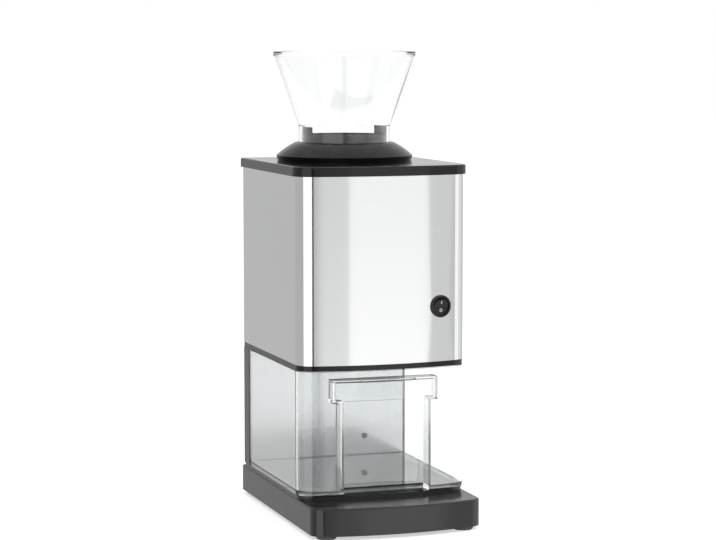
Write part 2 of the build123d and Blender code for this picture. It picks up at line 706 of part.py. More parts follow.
def top_plate():
    plate = body_slab(HOUSING_TOP, TOP, -TOP_OVERHANG)
    plate = fillet(plate.faces().sort_by(Axis.Z)[-1].edges(), EDGE_R)
    locating = STEEL + FIT_GAP
    low = HOUSING_TOP - TOP_LIP_DEPTH
    lip = body_slab(low, HOUSING_TOP, locating) - body_slab(low - 1, HOUSING_TOP, locating + TOP_LIP_WALL)
    clear_of_panel = BODY_BACK - STEEL - PANEL_THICK - 2 * FIT_GAP
    lip -= box((-WIDTH, WIDTH), (clear_of_panel, BODY_BACK + 1), (low - 1, HOUSING_TOP))
    plate += lip
    plate -= upright(0, HOPPER_Y, HOUSING_TOP - 1, TOP + 1, THROAT_R)
    for x, y in RODS:
        plate -= upright(x, y, HOUSING_TOP - 1, HOUSING_TOP + ROD_GRIP + HOLE_CLEAR, ROD_R + SCREW_CLEAR)
    for x, y in ring_screw_spots():
        plate -= shank_hole(x, y, HOUSING_TOP - 1, TOP + 1)
    for x, y in chamber_screw_spots():
        plate -= shank_hole(x, y, HOUSING_TOP - 1, HOUSING_TOP + TOP_SCREW_GRIP + HOLE_CLEAR)
    return plate


# ---- hopper ring, seal and hopper ----
def ring_screw_spots():
    reach = (GROOVE_R + RING_SCREW_OUT) / math.sqrt(2)
    return [(sx * reach, HOPPER_Y + sy * reach) for sx in (-1, 1) for sy in (-1, 1)]


def hopper_ring():
    groove_floor = TOP + GROOVE_FLOOR
    skirt_top = TOP + RING_SKIRT
    hook_top = RING_TOP + HOOK_HEIGHT
    dome = (RING_R - RING_ARC_IN, skirt_top + RING_ARC_UP)
    outline = Curve() + [
        Line((THROAT_R, TOP), (RING_R, TOP)),
        Line((RING_R, TOP), (RING_R, skirt_top)),
        ThreePointArc((RING_R, skirt_top), dome, (RING_TOP_R, RING_TOP)),
        Line((RING_TOP_R, RING_TOP), (GROOVE_R, RING_TOP)),
        Line((GROOVE_R, RING_TOP), (GROOVE_R, groove_floor)),
        Line((GROOVE_R, groove_floor), (THROAT_OUT_R, groove_floor)),
        Line((THROAT_OUT_R, groove_floor), (THROAT_OUT_R, hook_top)),
        Line((THROAT_OUT_R, hook_top), (THROAT_R, hook_top)),
        Line((THROAT_R, hook_top), (THROAT_R, TOP)),
    ]
    ring = Pos(0, HOPPER_Y, 0) * revolve(Plane.XZ * make_face(outline), Axis.Z)
    hook_half = THROAT_OUT_R * math.sin(math.radians(HOOK_ANGLE / 2))
    for side in (-1, 1):
        y = sorted((HOPPER_Y + side * hook_half, HOPPER_Y + side * RING_R))
        ring -= box((-NECK_R, NECK_R), y, (RING_TOP + COLLAR_HEIGHT, hook_top + 1))
    outer = RING_R - RING_WALL
    inner = GROOVE_R + RING_WALL
    under_top = RING_TOP - RING_WALL - 1
    ring -= turned([(inner, TOP), (outer, TOP), (outer, skirt_top + 1), (inner, under_top)], 0, HOPPER_Y)
    for x, y in ring_screw_spots():
        ring += upright(x, y, TOP, RING_TOP - RING_WALL - RING_BOSS_DROP, BOSS_R)
        ring -= shank_hole(x, y, TOP - 1, TOP + RING_SCREW_GRIP + 1)
    return ring


def ring_screws():
    length = TOP_THICK + RING_SCREW_GRIP
    return Part() + [screw_up(x, y, HOUSING_TOP, length) for x, y in ring_screw_spots()]


def hopper_seal():
    low = TOP + GROOVE_FLOOR
    high = low + SEAL_THICK
    inner = THROAT_OUT_R + FIT_GAP
    profile = [(inner, low), (NECK_R, low), (NECK_R, high), (inner, high)]
    return turned(profile, 0, HOPPER_Y)


def hopper():
    low = TOP + GROOVE_FLOOR + SEAL_THICK + SLIDE_GAP
    bend = RING_TOP + NECK_STRAIGHT
    rim = RING_TOP + RIM_HEIGHT
    lip = rim - RIM_LIP
    flare_r = RIM_R - RIM_STEP
    inner = NECK_R - NECK_WALL
    profile = [(NECK_R, low), (NECK_R, bend), (flare_r, lip), (RIM_R, lip), (RIM_R, rim),
               (RIM_R - HOPPER_WALL, rim), (flare_r - HOPPER_WALL, lip), (inner, bend), (inner, low)]
    return turned(profile, 0, HOPPER_Y)


# ---- crush chamber, fixed blades and chute ----
def chamber_screw_spots():
    return [(side * FLANGE_SCREW_X, y) for side in (-1, 1) for y in FLANGE_SCREW_YS]


def square_tube(half, wall, low, high):
    outer = half + wall
    tube = box((-outer, outer), (HOPPER_Y - outer, HOPPER_Y + outer), (low, high))
    return tube - box((-half, half), (HOPPER_Y - half, HOPPER_Y + half), (low - 1, high + 1))


def side_flange(half, low, high):
    """Flange that stands out left and right of the chamber's walls, round an opening of that half width."""
    reach = CHAMBER_OUT + CHAMBER_FLANGE
    flange = box((-reach, reach), (HOPPER_Y - CHAMBER_OUT, HOPPER_Y + CHAMBER_OUT), (low, high))
    return flange - box((-half, half), (HOPPER_Y - half, HOPPER_Y + half), (low - 1, high + 1))


def crush_chamber():
    chamber = square_tube(CHAMBER_HALF, PLASTIC_WALL, CHAMBER_BOTTOM, HOUSING_TOP)
    for low in (CHAMBER_BOTTOM, HOUSING_TOP - PLASTIC_WALL):
        chamber += side_flange(CHAMBER_HALF, low, low + PLASTIC_WALL)
        for x, y in chamber_screw_spots():
            chamber -= shank_hole(x, y, low - 1, low + PLASTIC_WALL + 1)
    for x, z in GEARBOX_POSTS:
        chamber += level(x, z, GEARBOX_BACK, CHAMBER_FACE + 1, BOSS_R)
        chamber -= level(x, z, GEARBOX_BACK - 1, CHAMBER_FACE + 1.5, SCREW_R + SCREW_CLEAR)
    bush_hole_r = SHAFT_R + BUSH_WALL + SCREW_CLEAR
    chamber -= level(0, ROTOR_Z, GEARBOX_BACK - 1, HOPPER_Y + CHAMBER_OUT + 1, bush_hole_r)
    slot_y = BAR_THICK / 2 + BAR_FIT
    slot_z = BAR_HEIGHT / 2 + BAR_FIT
    for y in BAR_YS:
        chamber -= box((CHAMBER_HALF - 1, CHAMBER_OUT + 1), (y - slot_y, y + slot_y),
                       (ROTOR_Z - slot_z, ROTOR_Z + slot_z))
    for y, z in rack_screw_spots():
        chamber -= across(y, z, CHAMBER_HALF - 1, CHAMBER_OUT + 1, SCREW_R + SCREW_CLEAR)
    return chamber


def chamber_screws():
    screws = Part()
    for x, y in chamber_screw_spots():
        screws += screw_up(x, y, HOUSING_TOP - PLASTIC_WALL, PLASTIC_WALL + TOP_SCREW_GRIP)
        screws += screw_up(x, y, CHAMBER_BOTTOM - PLASTIC_WALL, 2 * PLASTIC_WALL + 1.0)
    return screws


def rack_screw_spots():
    return [(HOPPER_Y + y, ROTOR_Z + z) for y in (-RACK_SCREW_Y, RACK_SCREW_Y)
            for z in (-RACK_SCREW_Z, RACK_SCREW_Z)]


def fixed_blades():
    outer = CHAMBER_OUT + RACK_BACK
    rack = box((CHAMBER_OUT, outer), (BAR_YS[0] - RACK_END, BAR_YS[-1] + RACK_END),
               (ROTOR_Z - RACK_HALF, ROTOR_Z + RACK_HALF))
    for y in BAR_YS:
        rack += box((BAR_REACH, outer), (y - BAR_THICK / 2, y + BAR_THICK / 2),
                    (ROTOR_Z - BAR_HEIGHT / 2, ROTOR_Z + BAR_HEIGHT / 2))
    for y, z in rack_screw_spots():
        rack -= across(y, z, CHAMBER_OUT - 1, outer + 1, SCREW_R + SCREW_CLEAR)
    return rack


def rack_screws():
    seat = CHAMBER_OUT + RACK_BACK
    screws = Part()
    for y, z in rack_screw_spots():
        screws += across(y, z, CHAMBER_HALF, seat, SCREW_R)
        screws += across(y, z, seat, seat + SCREW_HEAD, SCREW_HEAD_R)
    return screws


def chute():
    top = CHAMBER_BOTTOM
    tube = square_tube(CHUTE_HALF, CHUTE_WALL, DECK_BOTTOM + CHUTE_LIFT, top)
    tube += side_flange(CHUTE_HALF, top - PLASTIC_WALL, top)
    for x, y in chamber_screw_spots():
        tube -= shank_hole(x, y, top - PLASTIC_WALL - 1, top + 1)
    return tube


# ---- rotor ----
def shaft_bush_front():
    back = CHAMBER_FACE + PLASTIC_WALL + BUSH_FLANGE
    return bush(0, ROTOR_Z, CHAMBER_FACE - BUSH_STANDOUT, back, SHAFT_R, False)


def shaft_bush_rear():
    wall = HOPPER_Y + CHAMBER_HALF
    return bush(0, ROTOR_Z, wall - BUSH_FLANGE, wall + PLASTIC_WALL + BUSH_STANDOUT, SHAFT_R, True)


def rotor_shaft():
    shaft = level(0, ROTOR_Z, GEARBOX_FRONT + 1, HOPPER_Y + CHAMBER_OUT + SHAFT_TAIL, SHAFT_R)
    front = HOPPER_Y + CHAMBER_OUT + GROOVE_LINE
    back = front + GROOVE_WIDTH
    groove = level(0, ROTOR_Z, front, back, SHAFT_R + 1)
    return shaft - (groove - level(0, ROTOR_Z, front, back, SHAFT_R - GROOVE_DEPTH))


def crusher_blade(index):
    """Three-armed blade with hooked tips, on the shaft."""
    tip = BLADE_TIP_R
    arm = make_face(Polyline((0, -7), (tip - 10, -8), (tip - 1, -2), (tip - 3, 3), (tip - 12, 2), (tip - 18, 7),
                             (0, 8), close=True))
    face = Circle(SHAFT_R + HUB_WALL) + arm
    for turn in range(1, BLADE_ARMS):
        face += Rot(0, 0, 360 / BLADE_ARMS * turn) * arm
    face -= Circle(SHAFT_R + SEAT_GAP)
    plate = extrude(Rot(0, 0, BLADE_TURN * index) * face, amount=BLADE_THICK, dir=(0, 0, 1))
    return Pos(0, BLADE_YS[index] + BLADE_THICK / 2, ROTOR_Z) * Rot(90, 0, 0) * plate


def blade_spacers():
    reach = CHAMBER_HALF - BUSH_FLANGE - SPACER_PLAY
    stops = [HOPPER_Y - reach]
    for y in BLADE_YS:
        stops += [y - BLADE_THICK / 2, y + BLADE_THICK / 2]
    stops.append(HOPPER_Y + reach)
    spacers = Part()
    for front, back in zip(stops[::2], stops[1::2]):
        ring = level(0, ROTOR_Z, front, back, SPACER_R)
        spacers += ring - level(0, ROTOR_Z, front, back, SHAFT_R + SEAT_GAP)
    return spacers


def retaining_ring():
    front = HOPPER_Y + CHAMBER_OUT + GROOVE_LINE + SCREW_CLEAR
    back = front + GROOVE_WIDTH - 2 * SCREW_CLEAR
    inner_r = SHAFT_R - GROOVE_DEPTH + SCREW_CLEAR
    ring = level(0, ROTOR_Z, front, back, SHAFT_R + 2) - level(0, ROTOR_Z, front, back, inner_r)
    return ring - box((-RING_SLOT / 2, RING_SLOT / 2), (front - 1, back + 1), (ROTOR_Z - 2 * SHAFT_R, ROTOR_Z))


# ---- gear train ----
def output_gear():
    front = OUTPUT_BACK - OUTPUT_FACE
    wheel = gear(OUTPUT_TEETH, OUTPUT_MODULE, 90.0, 0, ROTOR_Z, front, OUTPUT_BACK)
    for turn in range(LIGHTENING_HOLES):
        angle = 2 * math.pi / LIGHTENING_HOLES * (turn + 0.5)
        x = LIGHTENING_LINE * math.cos(angle)
        z = ROTOR_Z + LIGHTENING_LINE * math.sin(angle)
        wheel -= level(x, z, front - 1, OUTPUT_BACK + 1, LIGHTENING_R)
    return wheel - level(0, ROTOR_Z, front - 1, OUTPUT_BACK + 1, SHAFT_R + SEAT_GAP)


def cluster_gear():
    pinion_tooth = 270.0 + 180.0 / CLUSTER_PINION_TEETH
    wheel = gear(CLUSTER_TEETH, MOTOR_MODULE, 180.0, 0, CLUSTER_Z, CLUSTER_FRONT, CLUSTER_BACK)
    wheel += gear(CLUSTER_PINION_TEETH, OUTPUT_MODULE, pinion_tooth, 0, CLUSTER_Z, CLUSTER_BACK, OUTPUT_BACK)
    return wheel - level(0, CLUSTER_Z, CLUSTER_FRONT - 1, OUTPUT_BACK + 1, GEAR_PIN_R + RUN_CLEAR)


def motor_pinion():
    first_tooth = 180.0 / MOTOR_TEETH
    front = CLUSTER_FRONT - PINION_PAST
    back = CLUSTER_BACK + PINION_PAST
    pinion = gear(MOTOR_TEETH, MOTOR_MODULE, first_tooth, MOTOR_X, CLUSTER_Z, front, back)
    return pinion - level(MOTOR_X, CLUSTER_Z, front - 1, back + 1, MOTOR_SHAFT_R + SEAT_GAP)


def cluster_pin():
    return level(0, CLUSTER_Z, GEARBOX_FRONT + PIN_SINK, GEARBOX_BACK - PIN_SINK, GEAR_PIN_R)


def gearbox_housing():
    half = GEARBOX_HALF
    front = GEARBOX_FRONT
    wall = PLASTIC_WALL
    case = box((-half, half), (front, GEARBOX_COVER_FRONT), (GEARBOX_LOW, GEARBOX_HIGH))
    case -= box((-half + wall, half - wall), (front + wall, GEARBOX_BACK),
                (GEARBOX_LOW + wall, GEARBOX_HIGH - wall))
    reach_x = STATOR_HALF_X - MOTOR_MOUNT_INSET
    case += box((MOTOR_X - reach_x, MOTOR_X + reach_x), (front, front + wall),
                (CLUSTER_Z - STATOR_HALF_Z, CLUSTER_Z + STATOR_HALF_Z))
    for x, z in GEARBOX_POSTS:
        case += level(x, z, front, GEARBOX_COVER_FRONT, BOSS_R)
    case += level(0, CLUSTER_Z, front, CLUSTER_FRONT - PIN_BOSS_GAP, GEAR_PIN_R + PIN_BOSS_WALL)
    for x, z in MOTOR_SCREWS:
        case += level(x, z, STATOR_BACK, front + 1, BOSS_R)
        case -= level(x, z, STATOR_BACK - 1, front + wall + 1, SCREW_R + SCREW_CLEAR)
    for x, z in GEARBOX_POSTS:
        case -= level(x, z, front - 1, GEARBOX_BACK, SCREW_R + SCREW_CLEAR)
    case -= level(0, CLUSTER_Z, front + PIN_SINK, GEARBOX_BACK, GEAR_PIN_R + SEAT_GAP)
    case -= level(0, ROTOR_Z, front - 1, front + wall + 1, SHAFT_R + BUSH_WALL + SCREW_CLEAR)
    motor_hole_r = MOTOR_SHAFT_R + BUSH_WALL + SCREW_CLEAR
    return case - level(MOTOR_X, CLUSTER_Z, front - 1, front + wall + 1, motor_hole_r)


def gearbox_cover():
    half = GEARBOX_HALF
    cover = box((-half, half), (GEARBOX_COVER_FRONT, GEARBOX_BACK), (GEARBOX_LOW, GEARBOX_HIGH))
    for x, z in GEARBOX_POSTS:
        cover -= level(x, z, GEARBOX_COVER_FRONT - 1, GEARBOX_BACK + 1, SCREW_R + SCREW_CLEAR)
    cover -= level(0, CLUSTER_Z, GEARBOX_COVER_FRONT - 1, GEARBOX_BACK - PIN_SINK, GEAR_PIN_R + SEAT_GAP)
    return cover - level(0, ROTOR_Z, GEARBOX_COVER_FRONT - 1, GEARBOX_BACK + 1, SHAFT_R + HOLE_CLEAR)


def gearbox_screws():
    length = GEARBOX_DEPTH + GEARBOX_SCREW_PAST
    return Part() + [screw_in(x, z, GEARBOX_FRONT, length, forward=False) for x, z in GEARBOX_POSTS]


def gearbox_bush():
    return bush(0, ROTOR_Z, GEARBOX_FRONT, GEARBOX_FRONT + PLASTIC_WALL + BUSH_FLANGE, SHAFT_R, False)


# ---- motor ----
def motor_stator():
    stack = box((MOTOR_X - STATOR_HALF_X, MOTOR_X + STATOR_HALF_X), (STATOR_FRONT, STATOR_BACK),
                (CLUSTER_Z - STATOR_HALF_Z, CLUSTER_Z + STATOR_HALF_Z))
    stack = fillet(stack.edges().filter_by(Axis.Y), STATOR_CORNER_R)
    stack -= level(MOTOR_X, CLUSTER_Z, STATOR_FRONT - 1, STATOR_BACK + 1, BORE_R)
    for side in (-1, 1):
        x = sorted((MOTOR_X + side * WINDOW_IN, MOTOR_X + side * WINDOW_OUT))
        stack -= box(x, (STATOR_FRONT - 1, STATOR_BACK + 1), (CLUSTER_Z - WINDOW_HALF, CLUSTER_Z + WINDOW_HALF))
    for x, z in MOTOR_SCREWS:
        stack -= level(x, z, STATOR_FRONT - 1, STATOR_BACK + 1, SCREW_R + SCREW_CLEAR)
    return stack


def field_coils():
    """One flat racetrack of wire each side, round its pole and out past both ends of the stack."""
    coils = Part()
    front = STATOR_FRONT - COIL_OVERHANG
    back = STATOR_BACK + COIL_OVERHANG
    half_z = WINDOW_HALF - COIL_GAP
    for side in (-1, 1):
        x = sorted((MOTOR_X + side * COIL_IN, MOTOR_X + side * (WINDOW_OUT - COIL_GAP)))
        coil = box(x, (front, back), (CLUSTER_Z - half_z, CLUSTER_Z + half_z))
        coils += coil - box((x[0] - 1, x[1] + 1), (front + COIL_END, back - COIL_END),
                            (CLUSTER_Z - COIL_EYE, CLUSTER_Z + COIL_EYE))
    return coils


def motor_front_bracket():
    half_x = MOTOR_SCREW_X + BOSS_R
    half_z = MOTOR_SCREW_Z + BOSS_R
    bracket = box((MOTOR_X - half_x, MOTOR_X + half_x), (BRACKET_FRONT, BRACKET_BACK),
                  (CLUSTER_Z - half_z, CLUSTER_Z + half_z))
    for side in (-1, 1):
        z = sorted((CLUSTER_Z + side * BRACKET_NOTCH_FROM, CLUSTER_Z + side * (half_z + 1)))
        bracket -= box((MOTOR_X - BRACKET_NOTCH_HALF, MOTOR_X + BRACKET_NOTCH_HALF),
                       (BRACKET_FRONT - 1, BRACKET_BACK + 1), z)
    for x, z in MOTOR_SCREWS:
        bracket += level(x, z, BRACKET_BACK - 1, STATOR_FRONT, BOSS_R)
        bracket -= level(x, z, BRACKET_FRONT - 1, STATOR_FRONT + 1, SCREW_R + SCREW_CLEAR)
    hole_r = MOTOR_SHAFT_R + BUSH_WALL + SCREW_CLEAR
    return bracket - level(MOTOR_X, CLUSTER_Z, BRACKET_FRONT - 1, BRACKET_BACK + 1, hole_r)


def motor_screws():
    screws = Part()
    for x, z in MOTOR_SCREWS:
        screws += level(x, z, BRACKET_FRONT, GEARBOX_FRONT + MOTOR_SCREW_PAST, SCREW_R)
        screws += level(x, z, BRACKET_FRONT - MOTOR_SCREW_HEAD, BRACKET_FRONT, SCREW_HEAD_R)
    return screws


def motor_bushes():
    front = bush(MOTOR_X, CLUSTER_Z, BRACKET_FRONT + PIN_SINK, BRACKET_BACK + BUSH_FLANGE, MOTOR_SHAFT_R, False)
    wall_back = GEARBOX_FRONT + PLASTIC_WALL
    rear = bush(MOTOR_X, CLUSTER_Z, GEARBOX_FRONT - BUSH_FLANGE, wall_back, MOTOR_SHAFT_R, True)
    return Part() + [front, rear]


def motor_shaft():
    return level(MOTOR_X, CLUSTER_Z, BRACKET_FRONT + PIN_SINK, CLUSTER_BACK + PINION_PAST, MOTOR_SHAFT_R)


def on_motor_shaft(radius, front, back):
    ring = level(MOTOR_X, CLUSTER_Z, front, back, radius)
    return ring - level(MOTOR_X, CLUSTER_Z, front - 1, back + 1, MOTOR_SHAFT_R + SEAT_GAP)


def armature_core():
    core = on_motor_shaft(BORE_R - AIR_GAP, STATOR_FRONT, STATOR_BACK)
    for turn in range(ARMATURE_SLOTS):
        angle = 2 * math.pi / ARMATURE_SLOTS * turn
        x = MOTOR_X + SLOT_LINE * math.cos(angle)
        z = CLUSTER_Z + SLOT_LINE * math.sin(angle)
        core -= level(x, z, STATOR_FRONT - 1, STATOR_BACK + 1, SLOT_R)
    return core


def armature_windings():
    front = on_motor_shaft(WINDING_R, STATOR_FRONT - WINDING_FRONT, STATOR_FRONT)
    back = on_motor_shaft(WINDING_R, STATOR_BACK, STATOR_BACK + WINDING_BACK)
    return Part() + [front, back]


def commutator():
    return on_motor_shaft(COMMUTATOR_R, BRACKET_BACK + COMMUTATOR_GAP, STATOR_FRONT - COMMUTATOR_BACK)


def cooling_fan():
    back = GEARBOX_FRONT - BUSH_FLANGE - 1.0
    front = back - FAN_WIDTH
    fan = on_motor_shaft(FAN_HUB_R, front, back) + on_motor_shaft(FAN_R, back - FAN_DISC, back)
    for turn in range(FAN_BLADES):
        vane = box((FAN_HUB_R - 1, FAN_R - 0.5), (front + VANE_INSET, back), (-VANE_THICK / 2, VANE_THICK / 2))
        fan += Pos(MOTOR_X, 0, CLUSTER_Z) * Rot(0, 360 / FAN_BLADES * turn, 0) * vane
    return fan


def brush_holders():
    holders = Part()
    front = BRACKET_BACK + COMMUTATOR_GAP
    back = STATOR_FRONT - HOLDER_BACK
    hole_half = BRUSH_HALF + BRUSH_PLAY
    for side in (-1, 1):
        z = sorted((CLUSTER_Z + side * (COMMUTATOR_R + HOLDER_GAP), CLUSTER_Z + side * HOLDER_OUT))
        holder = box((MOTOR_X - HOLDER_HALF, MOTOR_X + HOLDER_HALF), (front, back), z)
        holder += box((MOTOR_X - HOLDER_FOOT_HALF, MOTOR_X + HOLDER_FOOT_HALF), (BRACKET_BACK, front), z)
        holders += holder - box((MOTOR_X - hole_half, MOTOR_X + hole_half),
                                (front + HOLDER_WALL, back - HOLDER_WALL), (z[0] - 1, z[1] + 1))
    return holders


def carbon_brushes():
    brushes = Part()
    front = BRACKET_BACK + COMMUTATOR_GAP + HOLDER_WALL + BRUSH_PLAY
    back = STATOR_FRONT - HOLDER_BACK - HOLDER_WALL - BRUSH_PLAY
    for side in (-1, 1):
        z = sorted((CLUSTER_Z + side * (COMMUTATOR_R + BRUSH_GAP), CLUSTER_Z + side * BRUSH_OUT))
        brushes += box((MOTOR_X - BRUSH_HALF, MOTOR_X + BRUSH_HALF), (front, back), z)
    return brushes


# ---- rocker switch ----
def switch_body():
    bore_r = PADDLE_R + PADDLE_GAP
    body = Pos(0, 0, BEZEL_THICK / 2) * Cylinder(BEZEL_R, BEZEL_THICK)
    body = fillet(body.faces().sort_by(Axis.Z)[-1].edges(), BEZEL_EDGE_R)
    body += Pos(0, 0, -SWITCH_DEPTH / 2) * Cylinder(SWITCH_BODY_R, SWITCH_DEPTH)
    body -= upright(0, 0, -SWITCH_WELL, BEZEL_THICK + 1, bore_r)
    body -= Pos(0, 0, -PIVOT_DEPTH) * Rot(0, 90, 0) * Cylinder(PIVOT_R + RUN_CLEAR, 2 * SWITCH_BODY_R + 1)
    for x in (-TAB_X, TAB_X):
        body += box((x - TAB_THICK / 2, x + TAB_THICK / 2), (-TAB_WIDTH / 2, TAB_WIDTH / 2),
                    (-SWITCH_DEPTH - TAB_LENGTH, -SWITCH_DEPTH + 1))
    return switch_place() * body


def switch_paddle():
    """At rest in the off position: lower half in, upper half out."""
    reach = PADDLE_R + 1
    ends = PADDLE_CREST + reach * math.tan(math.radians(ROCK))
    side_view = make_face(Polyline((-reach, -PADDLE_DEPTH), (reach, -PADDLE_DEPTH), (reach, ends),
                                   (0, PADDLE_CREST), (-reach, ends), close=True))
    wedge = extrude(Plane.YZ * side_view, amount=reach, both=True)
    paddle = wedge & Cylinder(PADDLE_R, 2 * reach)
    pivot = Cylinder(PIVOT_R, 2 * (SWITCH_BODY_R - PADDLE_PLAY))
    paddle += Pos(0, 0, -PIVOT_DEPTH) * Rot(0, 90, 0) * pivot
    tipped = Pos(0, 0, -PIVOT_DEPTH) * Rot(ROCK, 0, 0) * Pos(0, 0, PIVOT_DEPTH)
    return switch_place() * tipped * paddle


# ---- interlock, terminal block and cable gland ----
def plunger_collar_back():
    return COLUMN_FRONT + PLASTIC_WALL + PLUNGER_STOP_GAP + PLUNGER_TRAVEL + PLUNGER_COLLAR


def interlock_switch():
    front = plunger_collar_back() + PLUNGER_STOP_GAP
    block = box((INTERLOCK_X - INTERLOCK_HALF_X, INTERLOCK_X + INTERLOCK_HALF_X),
                (front, BODY_BACK - PLASTIC_WALL),
                (INTERLOCK_Z - INTERLOCK_HALF_Z, INTERLOCK_Z + INTERLOCK_HALF_Z))
    return block - level(INTERLOCK_X, INTERLOCK_Z, front - 1, front + PLUNGER_BORE, PLUNGER_R + RUN_CLEAR)


def interlock_plunger():
    tip = CONTAINER_BACK + SLIDE_GAP
    collar_back = plunger_collar_back()
    plunger = level(INTERLOCK_X, INTERLOCK_Z, tip, collar_back + PLUNGER_TAIL, PLUNGER_R)
    collar_r = PLUNGER_R + PLUNGER_COLLAR_STEP
    return plunger + level(INTERLOCK_X, INTERLOCK_Z, collar_back - PLUNGER_COLLAR, collar_back, collar_r)


def terminal_block():
    left = CHAMBER_OUT + CHAMBER_FLANGE + TERMINAL_GAP
    top = DECK_TOP + TERMINAL_HEIGHT
    first = TERMINAL_START + TERMINAL_END
    last = first + TERMINAL_PITCH * (TERMINAL_WAYS - 1)
    block = box((left, left + TERMINAL_WIDTH), (TERMINAL_START, last + TERMINAL_END), (DECK_TOP, top))
    for i in range(TERMINAL_WAYS):
        y = first + TERMINAL_PITCH * i
        block -= upright(left + TERMINAL_WIDTH / 2, y, top - TERMINAL_HOLE_DEPTH, top + 1, TERMINAL_HOLE_R)
    return block


def cable_gland():
    front = BODY_BACK - PLASTIC_WALL - GLAND_INSIDE
    collar = BODY_BACK + GLAND_COLLAR
    gland = level(GLAND_X, INTERLOCK_Z, front, BODY_BACK, GLAND_R)
    gland += level(GLAND_X, INTERLOCK_Z, BODY_BACK, collar, GLAND_HEAD_R)
    gland += level(GLAND_X, INTERLOCK_Z, collar, collar + GLAND_NECK, GLAND_R)
    return gland - level(GLAND_X, INTERLOCK_Z, front - 1, collar + GLAND_NECK + 1, GLAND_CABLE_R)


def gland_nut():
    wall_in = BODY_BACK - PLASTIC_WALL
    blank = extrude(Plane.XZ * RegularPolygon(GLAND_NUT_R, 6), amount=GLAND_NUT_THICK, dir=(0, -1, 0))
    nut = Pos(GLAND_X, wall_in, INTERLOCK_Z) * blank
    return nut - level(GLAND_X, INTERLOCK_Z, wall_in - GLAND_NUT_THICK - 1, wall_in + 1, GLAND_R + SCREW_CLEAR)


PIECES = {
    "base_tray": base_tray,
    "base_cover": base_cover,
    "rubber_feet": rubber_feet,
    "foot_screws": foot_screws,
    "container": container,
    "rear_column": rear_column,
    "splash_panel": splash_panel,
    "column_screws": column_screws,
    "deck": deck,
    "tie_rods": tie_rods,
    "rod_nuts": rod_nuts,
    "housing_wrap": housing_wrap,
    "rear_panel": rear_panel,
    "panel_screws": panel_screws,
    "top_plate": top_plate,
    "hopper_ring": hopper_ring,
    "ring_screws": ring_screws,
    "hopper_seal": hopper_seal,
    "hopper": hopper,
    "crush_chamber": crush_chamber,
    "chamber_screws": chamber_screws,
    "fixed_blades": fixed_blades,
    "rack_screws": rack_screws,
    "chute": chute,
    "shaft_bush_front": shaft_bush_front,
    "shaft_bush_rear": shaft_bush_rear,
    "rotor_shaft": rotor_shaft,
    "blade_spacers": blade_spacers,
    "retaining_ring": retaining_ring,
    "output_gear": output_gear,
    "cluster_gear": cluster_gear,
    "cluster_pin": cluster_pin,
    "motor_pinion": motor_pinion,
    "gearbox_housing": gearbox_housing,
    "gearbox_cover": gearbox_cover,
    "gearbox_screws": gearbox_screws,
    "gearbox_bush": gearbox_bush,
    "motor_stator": motor_stator,
    "field_coils": field_coils,
    "motor_front_bracket": motor_front_bracket,
    "motor_screws": motor_screws,
    "motor_bushes": motor_bushes,
    "motor_shaft": motor_shaft,
    "armature_core": armature_core,
    "armature_windings": armature_windings,
    "commutator": commutator,
    "cooling_fan": cooling_fan,
    "brush_holders": brush_holders,
    "carbon_brushes": carbon_brushes,
    "switch_body": switch_body,
    "switch_paddle": switch_paddle,
    "interlock_switch": interlock_switch,
    "interlock_plunger": interlock_plunger,
    "terminal_block": terminal_block,
    "cable_gland": cable_gland,
    "gland_nut": gland_nut,
}

os.makedirs("parts", exist_ok=True)
for name, make in PIECES.items():
    export_step(make(), f"parts/{name}.step")
for number in range(BLADE_COUNT):
    export_step(crusher_blade(number), f"parts/crusher_blade_{number + 1}.step")
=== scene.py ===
"""Looks of the electric ice crusher, in metres: camera, light, finishes and the pieces modelled
around the frame."""
import json
import math

import bmesh
import bpy
from mathutils import Matrix, Vector

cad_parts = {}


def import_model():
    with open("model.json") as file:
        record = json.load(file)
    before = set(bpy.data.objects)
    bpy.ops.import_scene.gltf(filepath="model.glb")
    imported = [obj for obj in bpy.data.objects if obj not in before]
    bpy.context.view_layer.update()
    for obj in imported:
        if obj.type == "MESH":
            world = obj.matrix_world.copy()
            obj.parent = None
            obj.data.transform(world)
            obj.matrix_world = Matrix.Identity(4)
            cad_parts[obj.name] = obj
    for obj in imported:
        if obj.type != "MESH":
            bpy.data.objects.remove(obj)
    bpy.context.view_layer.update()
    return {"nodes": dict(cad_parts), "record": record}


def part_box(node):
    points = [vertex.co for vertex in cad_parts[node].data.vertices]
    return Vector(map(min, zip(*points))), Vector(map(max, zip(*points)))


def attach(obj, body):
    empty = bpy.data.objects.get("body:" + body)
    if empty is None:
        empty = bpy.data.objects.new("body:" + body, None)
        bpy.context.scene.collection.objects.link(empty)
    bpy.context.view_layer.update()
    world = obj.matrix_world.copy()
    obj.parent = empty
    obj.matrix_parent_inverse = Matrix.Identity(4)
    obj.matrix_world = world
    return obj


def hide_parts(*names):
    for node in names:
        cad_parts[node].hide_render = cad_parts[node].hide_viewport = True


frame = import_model()
NODES = frame["nodes"]
MM = 0.001


# ---- camera, from a fit to the object's straight edges ----
CAMERA_PLACE = Vector((-0.7282, -2.1736, 0.4778))
CAMERA_RIGHT = Vector((0.9483, -0.3172, 0.0))
CAMERA_UP = Vector((0.0314, 0.0940, 0.9950))
LENS_MM = 113.76
SENSOR_MM = 36.0


def make_camera():
    lens = bpy.data.cameras.new("camera")
    lens.sensor_width = SENSOR_MM
    lens.lens = LENS_MM
    camera = bpy.data.objects.new("camera", lens)
    bpy.context.scene.collection.objects.link(camera)
    back = CAMERA_RIGHT.cross(CAMERA_UP)
    turn = Matrix((CAMERA_RIGHT, CAMERA_UP, back)).transposed().to_4x4()
    camera.matrix_world = Matrix.Translation(CAMERA_PLACE) @ turn
    bpy.context.scene.camera = camera


make_camera()


